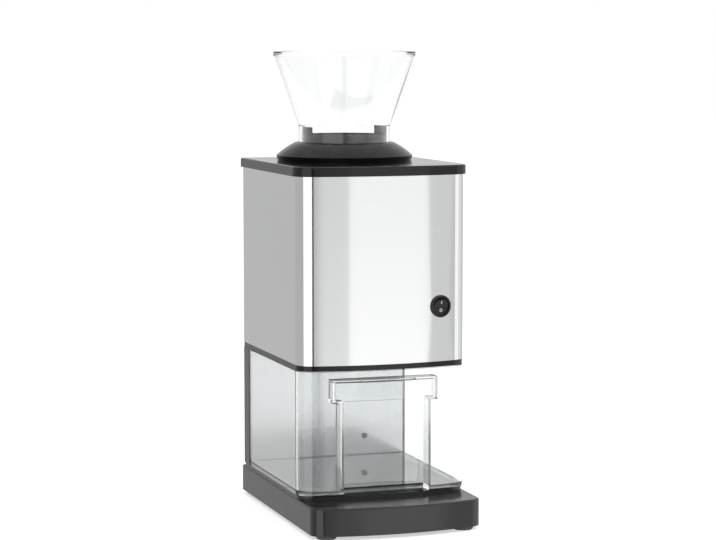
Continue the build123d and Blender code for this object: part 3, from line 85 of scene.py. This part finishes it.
# ---- small helpers for meshes ----
SAME_POINT = 0.001 * MM
CAD_SAME_POINT = 0.002 * MM
FLAT_BELOW = math.radians(0.4)
SMOOTH_BELOW = math.radians(35.0)


def finished(name, shape, material, body, replaced=()):
    """Turns a bmesh into a piece that rides on a body, smooth where its faces meet gently."""
    bmesh.ops.remove_doubles(shape, verts=shape.verts, dist=SAME_POINT)
    mesh = bpy.data.meshes.new(name)
    shape.to_mesh(mesh)
    shape.free()
    mesh.shade_smooth()
    mesh.set_sharp_from_angle(angle=SMOOTH_BELOW)
    piece = bpy.data.objects.new(name, mesh)
    bpy.context.scene.collection.objects.link(piece)
    mesh.materials.append(material)
    even = piece.modifiers.new("even_shading", "WEIGHTED_NORMAL")
    even.keep_sharp = True
    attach(piece, body)
    if replaced:
        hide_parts(*replaced)


def node_copy(node):
    """A CAD node's shape as a merged mesh with its flat faces whole again."""
    shape = bmesh.new()
    shape.from_mesh(NODES[node].data)
    bmesh.ops.remove_doubles(shape, verts=shape.verts, dist=CAD_SAME_POINT)
    bmesh.ops.dissolve_limit(shape, angle_limit=FLAT_BELOW, verts=shape.verts, edges=shape.edges)
    return shape


def soften(shape, radius, segments=2, sharper_than=30.0):
    """Rounds every edge whose faces meet at more than that angle."""
    limit = math.radians(sharper_than)
    edges = [e for e in shape.edges if len(e.link_faces) == 2 and e.calc_face_angle(0) > limit]
    bmesh.ops.bevel(shape, geom=edges, offset=radius, offset_type="OFFSET", segments=segments,
                    profile=0.5, affect="EDGES", clamp_overlap=True, material=-1)
    return shape


def softened_node(node, material, body, radius):
    """Takes a CAD node's place with a copy whose edges are rounded."""
    shape = soften(node_copy(node), radius)
    finished(node + "_finished", shape, material, body, (node,))


def spun(profile, centre, steps=128):
    """A closed outline of radius and height pairs, spun about the centre's upright line."""
    shape = bmesh.new()
    verts = [shape.verts.new((centre.x + r, centre.y, z)) for r, z in profile]
    edges = [shape.edges.new(pair) for pair in zip(verts, verts[1:] + verts[:1])]
    bmesh.ops.spin(shape, geom=verts + edges, cent=centre, axis=(0, 0, 1), angle=2 * math.pi,
                   steps=steps, use_merge=True)
    bmesh.ops.remove_doubles(shape, verts=shape.verts, dist=SAME_POINT)
    bmesh.ops.recalc_face_normals(shape, faces=shape.faces)
    return shape


# ---- node trees ----
class Tree:
    """A node tree with short calls for adding and joining nodes."""

    def __init__(self, tree):
        self.tree = tree

    def add(self, kind, **settings):
        node = self.tree.nodes.new(kind)
        for key, value in settings.items():
            setattr(node, key, value)
        return node

    def join(self, source, target):
        self.tree.links.new(source, target)


def group(name, inputs, outputs):
    """A shader node group with float inputs and named outputs; returns its tree and end nodes."""
    made = bpy.data.node_groups.new(name, "ShaderNodeTree")
    for label, value in inputs.items():
        socket = made.interface.new_socket(label, in_out="INPUT", socket_type="NodeSocketFloat")
        socket.default_value = value
    for label, kind in outputs.items():
        made.interface.new_socket(label, in_out="OUTPUT", socket_type=kind)
    tree = Tree(made)
    return tree, tree.add("NodeGroupInput"), tree.add("NodeGroupOutput")


def brushing_group():
    """Fine sheet-metal grain that runs round the object: level scratches and slow clouds."""
    tree, into, out = group("brushing", {"Fineness": 1400.0, "Bump": 0.1},
                            {"Mask": "NodeSocketFloat", "Normal": "NodeSocketVector"})
    place = tree.add("ShaderNodeTexCoord")
    along = tree.add("ShaderNodeMapping", vector_type="POINT")
    along.inputs["Scale"].default_value = (0.012, 0.012, 1.0)
    lines = tree.add("ShaderNodeTexNoise", noise_dimensions="3D")
    lines.inputs["Detail"].default_value = 3.0
    clouds = tree.add("ShaderNodeTexNoise")
    clouds.inputs["Scale"].default_value = 9.0
    both = tree.add("ShaderNodeMix", data_type="FLOAT")
    both.inputs["Factor"].default_value = 0.35
    bump = tree.add("ShaderNodeBump")
    bump.inputs["Distance"].default_value = 0.00004
    tree.join(place.outputs["Object"], along.inputs["Vector"])
    tree.join(along.outputs["Vector"], lines.inputs["Vector"])
    tree.join(into.outputs["Fineness"], lines.inputs["Scale"])
    tree.join(place.outputs["Object"], clouds.inputs["Vector"])
    tree.join(lines.outputs["Fac"], both.inputs["A"])
    tree.join(clouds.outputs["Fac"], both.inputs["B"])
    tree.join(lines.outputs["Fac"], bump.inputs["Height"])
    tree.join(into.outputs["Bump"], bump.inputs["Strength"])
    tree.join(both.outputs["Result"], out.inputs["Mask"])
    tree.join(bump.outputs["Normal"], out.inputs["Normal"])
    return tree.tree


def moulded_group():
    """Spark-eroded mould texture, with faint dust and handling in a slower pattern."""
    tree, into, out = group("moulded", {"Grain": 900.0, "Bump": 0.2},
                            {"Grain mask": "NodeSocketFloat", "Dust mask": "NodeSocketFloat",
                             "Normal": "NodeSocketVector"})
    place = tree.add("ShaderNodeTexCoord")
    grain = tree.add("ShaderNodeTexNoise")
    grain.inputs["Detail"].default_value = 4.0
    dust = tree.add("ShaderNodeTexNoise")
    dust.inputs["Scale"].default_value = 22.0
    dust.inputs["Detail"].default_value = 6.0
    spread = tree.add("ShaderNodeMapRange")
    spread.inputs["From Min"].default_value = 0.42
    spread.inputs["From Max"].default_value = 0.75
    bump = tree.add("ShaderNodeBump")
    bump.inputs["Distance"].default_value = 0.00006
    tree.join(place.outputs["Object"], grain.inputs["Vector"])
    tree.join(place.outputs["Object"], dust.inputs["Vector"])
    tree.join(into.outputs["Grain"], grain.inputs["Scale"])
    tree.join(dust.outputs["Fac"], spread.inputs["Value"])
    tree.join(grain.outputs["Fac"], bump.inputs["Height"])
    tree.join(into.outputs["Bump"], bump.inputs["Strength"])
    tree.join(grain.outputs["Fac"], out.inputs["Grain mask"])
    tree.join(spread.outputs["Result"], out.inputs["Dust mask"])
    tree.join(bump.outputs["Normal"], out.inputs["Normal"])
    return tree.tree


BRUSHING = brushing_group()
MOULDED = moulded_group()


def fresh(name, **sockets):
    """A material with plain sockets of its Principled shader set; returns it, its tree and shader."""
    made = bpy.data.materials.new(name)
    made.use_nodes = True
    tree = Tree(made.node_tree)
    shader = made.node_tree.nodes["Principled BSDF"]
    for label, value in sockets.items():
        shader.inputs[label.replace("_", " ")].default_value = value
    return made, tree, shader


def place_group(tree, shape, **values):
    node = tree.add("ShaderNodeGroup", node_tree=shape)
    for label, value in values.items():
        node.inputs[label].default_value = value
    return node


def between(tree, mask, low, high):
    """A float that runs from low to high with the mask."""
    node = tree.add("ShaderNodeMapRange")
    node.inputs["To Min"].default_value = low
    node.inputs["To Max"].default_value = high
    tree.join(mask, node.inputs["Value"])
    return node.outputs["Result"]


def tinted(tree, mask, low, high):
    """A colour that runs from low to high with the mask."""
    node = tree.add("ShaderNodeMix", data_type="RGBA")
    colours = [socket for socket in node.inputs if socket.type == "RGBA"]
    colours[0].default_value = (*low, 1.0)
    colours[1].default_value = (*high, 1.0)
    tree.join(mask, node.inputs[0])
    return [socket for socket in node.outputs if socket.type == "RGBA"][0]


def brushed_metal(name, dark, light, smooth, rough, fineness=1400.0, bump=0.1, anisotropic=0.5):
    """Sheet or bar metal; its highlights are drawn out upright, across the level grain."""
    made, tree, shader = fresh(name, Metallic=1.0, Anisotropic=anisotropic,
                               Anisotropic_Rotation=0.25)
    grain = place_group(tree, BRUSHING, Fineness=fineness, Bump=bump)
    tree.join(tinted(tree, grain.outputs["Mask"], dark, light), shader.inputs["Base Color"])
    tree.join(between(tree, grain.outputs["Mask"], smooth, rough), shader.inputs["Roughness"])
    tree.join(grain.outputs["Normal"], shader.inputs["Normal"])
    return made


def moulded_plastic(name, colour, worn, smooth, rough, grain=900.0, bump=0.2, shine=0.5):
    """Textured moulding; dust lightens its colour and dulls it in places."""
    made, tree, shader = fresh(name, Specular_IOR_Level=shine)
    skin = place_group(tree, MOULDED, Grain=grain, Bump=bump)
    tree.join(tinted(tree, skin.outputs["Dust mask"], colour, worn), shader.inputs["Base Color"])
    tree.join(between(tree, skin.outputs["Dust mask"], smooth, rough), shader.inputs["Roughness"])
    tree.join(skin.outputs["Normal"], shader.inputs["Normal"])
    return made


CLEAR_BODY = (0.975, 0.985, 0.985)
# Edge colour of the clear plastic: partly its deeper path, partly painted shade for dark surroundings
# seen through the edges
CLEAR_EDGE_DEPTH_AND_SHADE = (0.42, 0.44, 0.45)
EDGE_FROM = 0.7


def clear_plastic(name):
    """Clear moulded plastic with faint flow haze, greyer where it is seen edge on: partly the longer
    path through the plastic, partly painted shade for dark surroundings seen through the edges.
    """
    made, tree, shader = fresh(name, Transmission_Weight=1.0, IOR=1.49)
    slant = tree.add("ShaderNodeLayerWeight")
    slant.inputs["Blend"].default_value = 0.5
    edge = tree.add("ShaderNodeMapRange")
    edge.inputs["From Min"].default_value = EDGE_FROM
    tree.join(slant.outputs["Facing"], edge.inputs["Value"])
    # Greyer towards grazing edges: painted shade for refracted dark surroundings, together with the
    # longer path through the plastic
    tint = tinted(tree, edge.outputs["Result"], CLEAR_BODY, CLEAR_EDGE_DEPTH_AND_SHADE)
    tree.join(tint, shader.inputs["Base Color"])
    place = tree.add("ShaderNodeTexCoord")
    haze = tree.add("ShaderNodeTexNoise")
    haze.inputs["Scale"].default_value = 14.0
    tree.join(place.outputs["Object"], haze.inputs["Vector"])
    tree.join(between(tree, haze.outputs["Fac"], 0.0, 0.05), shader.inputs["Roughness"])
    return made


def laminated_metal(name, colour, dark):
    """A stack of thin sheets, edges showing as fine lines along Y."""
    made, tree, shader = fresh(name, Metallic=0.8)
    place = tree.add("ShaderNodeTexCoord")
    sheets = tree.add("ShaderNodeTexWave", bands_direction="Y")
    sheets.inputs["Scale"].default_value = 300.0
    tree.join(place.outputs["Object"], sheets.inputs["Vector"])
    tree.join(tinted(tree, sheets.outputs["Fac"], dark, colour), shader.inputs["Base Color"])
    tree.join(between(tree, sheets.outputs["Fac"], 0.55, 0.4), shader.inputs["Roughness"])
    return made


# Metals: dark and light colour, least and most roughness, grain fineness, bump, anisotropy
STAINLESS = brushed_metal("stainless_sheet", (0.60, 0.605, 0.61), (0.66, 0.662, 0.665),
                          0.10, 0.15, anisotropic=0.8)
SPLASH = brushed_metal("splash_sheet", (0.56, 0.565, 0.57), (0.62, 0.62, 0.625),
                       0.14, 0.2, anisotropic=0.7)
BLADE = brushed_metal("ground_blade_steel", (0.52, 0.52, 0.53), (0.64, 0.64, 0.65),
                      0.2, 0.32, 900.0, 0.2)
SHAFT = brushed_metal("turned_steel", (0.5, 0.5, 0.51), (0.6, 0.6, 0.61), 0.2, 0.3, 700.0, 0.15)
SCREW = brushed_metal("zinc_screw", (0.48, 0.48, 0.5), (0.6, 0.6, 0.63),
                      0.25, 0.38, 500.0, 0.1, 0.0)
BRONZE = brushed_metal("sintered_bronze", (0.45, 0.27, 0.12), (0.55, 0.36, 0.18),
                       0.35, 0.5, 500.0, 0.1, 0.0)
COPPER = brushed_metal("enamelled_copper", (0.45, 0.16, 0.06), (0.62, 0.27, 0.11),
                       0.25, 0.4, 300.0, 0.3, 0.0)
BRACKET = brushed_metal("pressed_bracket", (0.42, 0.42, 0.43), (0.5, 0.5, 0.5),
                        0.3, 0.42, 600.0, 0.1, 0.0)
LAMINATION = laminated_metal("laminated_steel", (0.2, 0.2, 0.22), (0.08, 0.08, 0.09))
# Mouldings: clean and dusty colour, least and most roughness, grain fineness, bump, shine
BLACK = moulded_plastic("black_moulding", (0.010, 0.010, 0.011), (0.015, 0.015, 0.0155),
                        0.16, 0.24, bump=0.06)
TOP_BLACK = moulded_plastic("top_black_moulding", (0.006, 0.006, 0.0065), (0.010, 0.010, 0.0105),
                            0.1, 0.16, bump=0.03, shine=0.3)
RING_BLACK = moulded_plastic("ring_black_moulding", (0.005, 0.005, 0.005), (0.010, 0.010, 0.010),
                             0.16, 0.22, bump=0.04, shine=0.3)
SWITCH_BLACK = moulded_plastic("switch_black", (0.008, 0.008, 0.008), (0.012, 0.012, 0.012),
                               0.2, 0.3, 1500.0, 0.1, 0.3)
HOLDER = moulded_plastic("inner_black", (0.03, 0.03, 0.03), (0.045, 0.045, 0.045), 0.4, 0.55)
GREY = moulded_plastic("grey_moulding", (0.16, 0.165, 0.17), (0.2, 0.205, 0.21), 0.35, 0.5)
NYLON = moulded_plastic("gear_nylon", (0.66, 0.63, 0.54), (0.58, 0.55, 0.46), 0.35, 0.5)
RUBBER = moulded_plastic("grey_rubber", (0.09, 0.09, 0.088), (0.14, 0.138, 0.13),
                         0.6, 0.8, 500.0, 0.5)
CARBON = moulded_plastic("pressed_carbon", (0.02, 0.02, 0.02), (0.04, 0.04, 0.04),
                         0.45, 0.6, 600.0, 0.3)
MARK = moulded_plastic("switch_mark", (0.72, 0.72, 0.7), (0.62, 0.62, 0.6), 0.4, 0.5)
CLEAR = clear_plastic("clear_plastic")

SLOT_FINISH = {
    "black_plastic": BLACK,
    "stainless_steel": STAINLESS,
    "clear_plastic": CLEAR,
    "switch_plastic": SWITCH_BLACK,
    "rubber": RUBBER,
    "screw_steel": SCREW,
    "blade_steel": BLADE,
    "shaft_steel": SHAFT,
    "chamber_plastic": GREY,
    "gear_nylon": NYLON,
    "bush_bronze": BRONZE,
    "lamination_steel": LAMINATION,
    "winding_copper": COPPER,
    "bracket_steel": BRACKET,
    "carbon": CARBON,
    "holder_plastic": HOLDER,
    "gland_plastic": BLACK,
}


def finish_nodes():
    """Every CAD node takes the finish of its slot."""
    for entry in frame["record"]["subparts"]:
        mesh = NODES[entry["node"]].data
        mesh.materials.clear()
        mesh.materials.append(SLOT_FINISH[entry["material_slot"]])
    NODES["splash_panel"].data.materials[0] = SPLASH


finish_nodes()


# ---- hopper ----
NECK_R = 47.3 * MM
NECK_WALL = 3.0 * MM
NECK_HEIGHT = 28.6 * MM
FLARE_WALL = 2.5 * MM
LIP_HEIGHT = 5.0 * MM
LIP_REACH = 1.5 * MM
HOPPER_ROUND = 0.7 * MM
HOPPER_SHARP = 12.0


def hopper():
    """Neck, flare and rim as one wall with rounded edges."""
    low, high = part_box("hopper")
    middle = (low + high) / 2
    rim_r = (high.x - low.x) / 2
    bend = low.z + NECK_HEIGHT
    lip = high.z - LIP_HEIGHT
    flare_r = rim_r - LIP_REACH
    neck_in = NECK_R - NECK_WALL
    profile = [(NECK_R, low.z), (NECK_R, bend), (flare_r, lip), (rim_r, lip), (rim_r, high.z),
               (rim_r - FLARE_WALL, high.z), (flare_r - FLARE_WALL, lip), (neck_in, bend),
               (neck_in, low.z)]
    shape = spun(profile, Vector((middle.x, middle.y, 0)))
    soften(shape, HOPPER_ROUND, 3, HOPPER_SHARP)
    finished("hopper_clear", shape, CLEAR, "hopper", ("hopper",))


# ---- ring round the hopper ----
SKIRT_UNDERCUT = 1.6 * MM
SKIRT_BAND = 0.5 * MM
FOOT_LEVEL = 0.01 * MM
RING_ROUND = 0.5 * MM


def hopper_ring():
    """The domed ring, its skirt drawn in a little towards the plate it stands on."""
    low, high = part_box("hopper_ring")
    centre = Vector(((low.x + high.x) / 2, (low.y + high.y) / 2, 0))
    outer = (high.x - low.x) / 2
    shape = node_copy("hopper_ring")
    for vert in shape.verts:
        out = Vector((vert.co.x - centre.x, vert.co.y - centre.y, 0))
        if vert.co.z < low.z + FOOT_LEVEL and out.length > outer - SKIRT_BAND:
            vert.co -= out.normalized() * SKIRT_UNDERCUT
    soften(shape, RING_ROUND)
    finished("hopper_ring_finished", shape, RING_BLACK, "root", ("hopper_ring",))


# ---- switch marks ----
SWITCH_X, SWITCH_Z = 57.1 * MM, 219.5 * MM
FRONT_Y = -89.0 * MM
FRONT_BOW_R = 320.0 * MM
SWITCH_LEAN = math.asin(SWITCH_X / FRONT_BOW_R)
PANEL_SPOT = Vector((SWITCH_X, FRONT_Y + FRONT_BOW_R * (1 - math.cos(SWITCH_LEAN)), SWITCH_Z))
PADDLE_CREST = Vector((0.0, -0.39, 0.773)) * MM
UPPER_SLOPE = math.radians(16.0)
MARK_PROUD = 0.12 * MM
BAR_WIDTH, BAR_HEIGHT, BAR_UP = 0.9 * MM, 3.0 * MM, 4.4 * MM
CIRCLE_IN, CIRCLE_OUT, CIRCLE_UP = 1.0 * MM, 1.6 * MM, -3.4 * MM


def paddle_face(along, slope):
    """Where a mark goes: that far up from the paddle's crest, on a half with that slope."""
    turn = Matrix.Rotation(SWITCH_LEAN, 4, "Z") @ Matrix.Rotation(math.radians(90), 4, "X")
    face = Matrix.Translation(PADDLE_CREST) @ Matrix.Rotation(slope, 4, "X")
    return Matrix.Translation(PANEL_SPOT) @ turn @ face @ Matrix.Translation((0, along, 0))


def on_mark():
    """An upright bar on the upper half."""
    shape = bmesh.new()
    size = Matrix.Diagonal((BAR_WIDTH, BAR_HEIGHT, 2 * MARK_PROUD, 1.0))
    bmesh.ops.create_cube(shape, size=1.0, matrix=size)
    bmesh.ops.transform(shape, matrix=paddle_face(BAR_UP, UPPER_SLOPE), verts=shape.verts)
    finished("switch_on_mark", shape, MARK, "rocker")


def off_mark():
    """A small ring on the lower half."""
    outline = [(CIRCLE_IN, -MARK_PROUD), (CIRCLE_OUT, -MARK_PROUD),
               (CIRCLE_OUT, MARK_PROUD), (CIRCLE_IN, MARK_PROUD)]
    shape = spun(outline, Vector((0, 0, 0)), 32)
    bmesh.ops.transform(shape, matrix=paddle_face(CIRCLE_UP, 0.0), verts=shape.verts)
    finished("switch_off_mark", shape, MARK, "rocker")


# ---- all finished pieces ----
softened_node("container", CLEAR, "container", 0.6 * MM)
hopper()
hopper_ring()
on_mark()
off_mark()
softened_node("deck", TOP_BLACK, "root", 0.4 * MM)
softened_node("rear_column", BLACK, "root", 0.8 * MM)
softened_node("rear_panel", BLACK, "root", 0.3 * MM)
NODES["top_plate"].data.materials[0] = TOP_BLACK


# ---- stage ----
FLOOR_LIFT = 0.55
FLOOR_RADIUS = 12.0
PAPER = (0.8, 0.8, 0.8, 1.0)
CARD_DISTANCE = 3.0
CARD_FOOT, CARD_TOP = -2.5, 4.0
GLOW_FROM, GLOW_TO = -0.35, 0.25
CARD_STEP = 3
SKY_LIGHT = 0.75


def glow_material(name, low_strength, high_strength):
    """Even light whose strength changes with height."""
    made = bpy.data.materials.new(name)
    made.use_nodes = True
    tree = Tree(made.node_tree)
    tree.tree.nodes.clear()
    out = tree.add("ShaderNodeOutputMaterial")
    glow = tree.add("ShaderNodeEmission")
    place = tree.add("ShaderNodeTexCoord")
    split = tree.add("ShaderNodeSeparateXYZ")
    rise = tree.add("ShaderNodeMapRange")
    rise.inputs["From Min"].default_value = GLOW_FROM
    rise.inputs["From Max"].default_value = GLOW_TO
    rise.inputs["To Min"].default_value = low_strength
    rise.inputs["To Max"].default_value = high_strength
    tree.join(place.outputs["Object"], split.inputs[0])
    tree.join(split.outputs["Z"], rise.inputs["Value"])
    tree.join(rise.outputs["Result"], glow.inputs["Strength"])
    tree.join(glow.outputs[0], out.inputs["Surface"])
    return made


def floor_material():
    """Matte paper; the camera and clear plastic show it lifted to white where no shadow falls."""
    made = bpy.data.materials.new("floor_paper")
    made.use_nodes = True
    tree = Tree(made.node_tree)
    tree.tree.nodes.clear()
    out = tree.add("ShaderNodeOutputMaterial")
    matte = tree.add("ShaderNodeBsdfDiffuse")
    matte.inputs["Color"].default_value = PAPER
    lift = tree.add("ShaderNodeEmission")
    path = tree.add("ShaderNodeLightPath")
    seen = tree.add("ShaderNodeMath", operation="MAXIMUM")
    amount = tree.add("ShaderNodeMath", operation="MULTIPLY")
    amount.inputs[1].default_value = FLOOR_LIFT
    both = tree.add("ShaderNodeAddShader")
    tree.join(path.outputs["Is Camera Ray"], seen.inputs[0])
    tree.join(path.outputs["Is Transmission Ray"], seen.inputs[1])
    tree.join(seen.outputs[0], amount.inputs[0])
    tree.join(amount.outputs[0], lift.inputs["Strength"])
    tree.join(matte.outputs[0], both.inputs[0])
    tree.join(lift.outputs[0], both.inputs[1])
    tree.join(both.outputs[0], out.inputs["Surface"])
    return made


def staged(name, shape, material):
    mesh = bpy.data.meshes.new(name)
    shape.to_mesh(mesh)
    shape.free()
    piece = bpy.data.objects.new(name, mesh)
    bpy.context.scene.collection.objects.link(piece)
    mesh.materials.append(material)
    return piece


def floor():
    shape = bmesh.new()
    bmesh.ops.create_circle(shape, cap_ends=True, radius=FLOOR_RADIUS, segments=64)
    staged("floor", shape, floor_material()).visible_glossy = False


def card(name, start, end, strength, low_strength=None):
    """A tall curved card round the set, from one bearing to another, that only reflections show.
    Bearing 0 is straight in front, and it grows towards +X."""
    shape = bmesh.new()
    first = math.radians(start)
    spot = (CARD_DISTANCE * math.sin(first), -CARD_DISTANCE * math.cos(first))
    verts = [shape.verts.new((*spot, z)) for z in (CARD_FOOT, CARD_TOP)]
    edge = shape.edges.new(verts)
    bmesh.ops.spin(shape, geom=verts + [edge], cent=(0, 0, 0), axis=(0, 0, 1),
                   angle=math.radians(end - start), steps=max(2, int((end - start) / CARD_STEP)))
    lower = strength if low_strength is None else low_strength
    piece = staged(name, shape, glow_material(name, lower, strength))
    piece.visible_camera = False
    piece.visible_diffuse = False
    piece.visible_transmission = False
    piece.visible_shadow = False


def lamp(name, place, aim, size, power):
    """A soft rectangular lamp that no camera, gloss or clear plastic shows."""
    light = bpy.data.lights.new(name, "AREA")
    light.shape = "RECTANGLE"
    light.size, light.size_y = size
    light.energy = power
    piece = bpy.data.objects.new(name, light)
    bpy.context.scene.collection.objects.link(piece)
    piece.location = place
    piece.rotation_euler = (Vector(aim) - Vector(place)).to_track_quat("-Z", "Y").to_euler()
    piece.visible_camera = False
    piece.visible_glossy = False
    piece.visible_transmission = False


def world():
    """White to the eye, in clear plastic and in gloss; a little lower as light on the object."""
    made = bpy.data.worlds.new("studio")
    bpy.context.scene.world = made
    made.use_nodes = True
    tree = Tree(made.node_tree)
    sky = made.node_tree.nodes["Background"]
    path = tree.add("ShaderNodeLightPath")
    seen = tree.add("ShaderNodeMath", operation="MAXIMUM")
    seen_or_glossy = tree.add("ShaderNodeMath", operation="MAXIMUM")
    level = tree.add("ShaderNodeMapRange")
    level.inputs["To Min"].default_value = SKY_LIGHT
    level.inputs["To Max"].default_value = 1.0
    tree.join(path.outputs["Is Camera Ray"], seen.inputs[0])
    tree.join(path.outputs["Is Transmission Ray"], seen.inputs[1])
    tree.join(seen.outputs[0], seen_or_glossy.inputs[0])
    tree.join(path.outputs["Is Glossy Ray"], seen_or_glossy.inputs[1])
    tree.join(seen_or_glossy.outputs[0], level.inputs["Value"])
    tree.join(level.outputs["Result"], sky.inputs["Strength"])
    sky.inputs["Color"].default_value = (1, 1, 1, 1)


world()
floor()
card("card_side", -180.0, -74.0, 0.66)
card("card_corner", -73.6, -22.0, 1.8)
card("card_line", -21.8, -9.6, 0.06)
card("card_edge", -9.6, -7.8, 0.8)
card("card_left", -7.8, 3.4, 0.98, 1.2)
card("card_front", 3.4, 35.6, 1.34, 1.62)
card("card_right", 35.6, 45.8, 0.95)
card("card_thin_line", 45.8, 47.3, 0.62)
card("card_far_right", 47.3, 75.0, 1.45)
card("card_right_side", 75.0, 104.0, 1.08)
card("card_back_right", 104.0, 179.0, 0.8)
lamp("key", (1.2, -1.9, 2.2), (0, 0, 0.25), (1.2, 1.2), 22.0)
lamp("top", (0.0, 0.2, 2.4), (0, 0, 0.3), (1.6, 1.6), 14.0)

settings = bpy.context.scene.view_settings
settings.view_transform = "Standard"
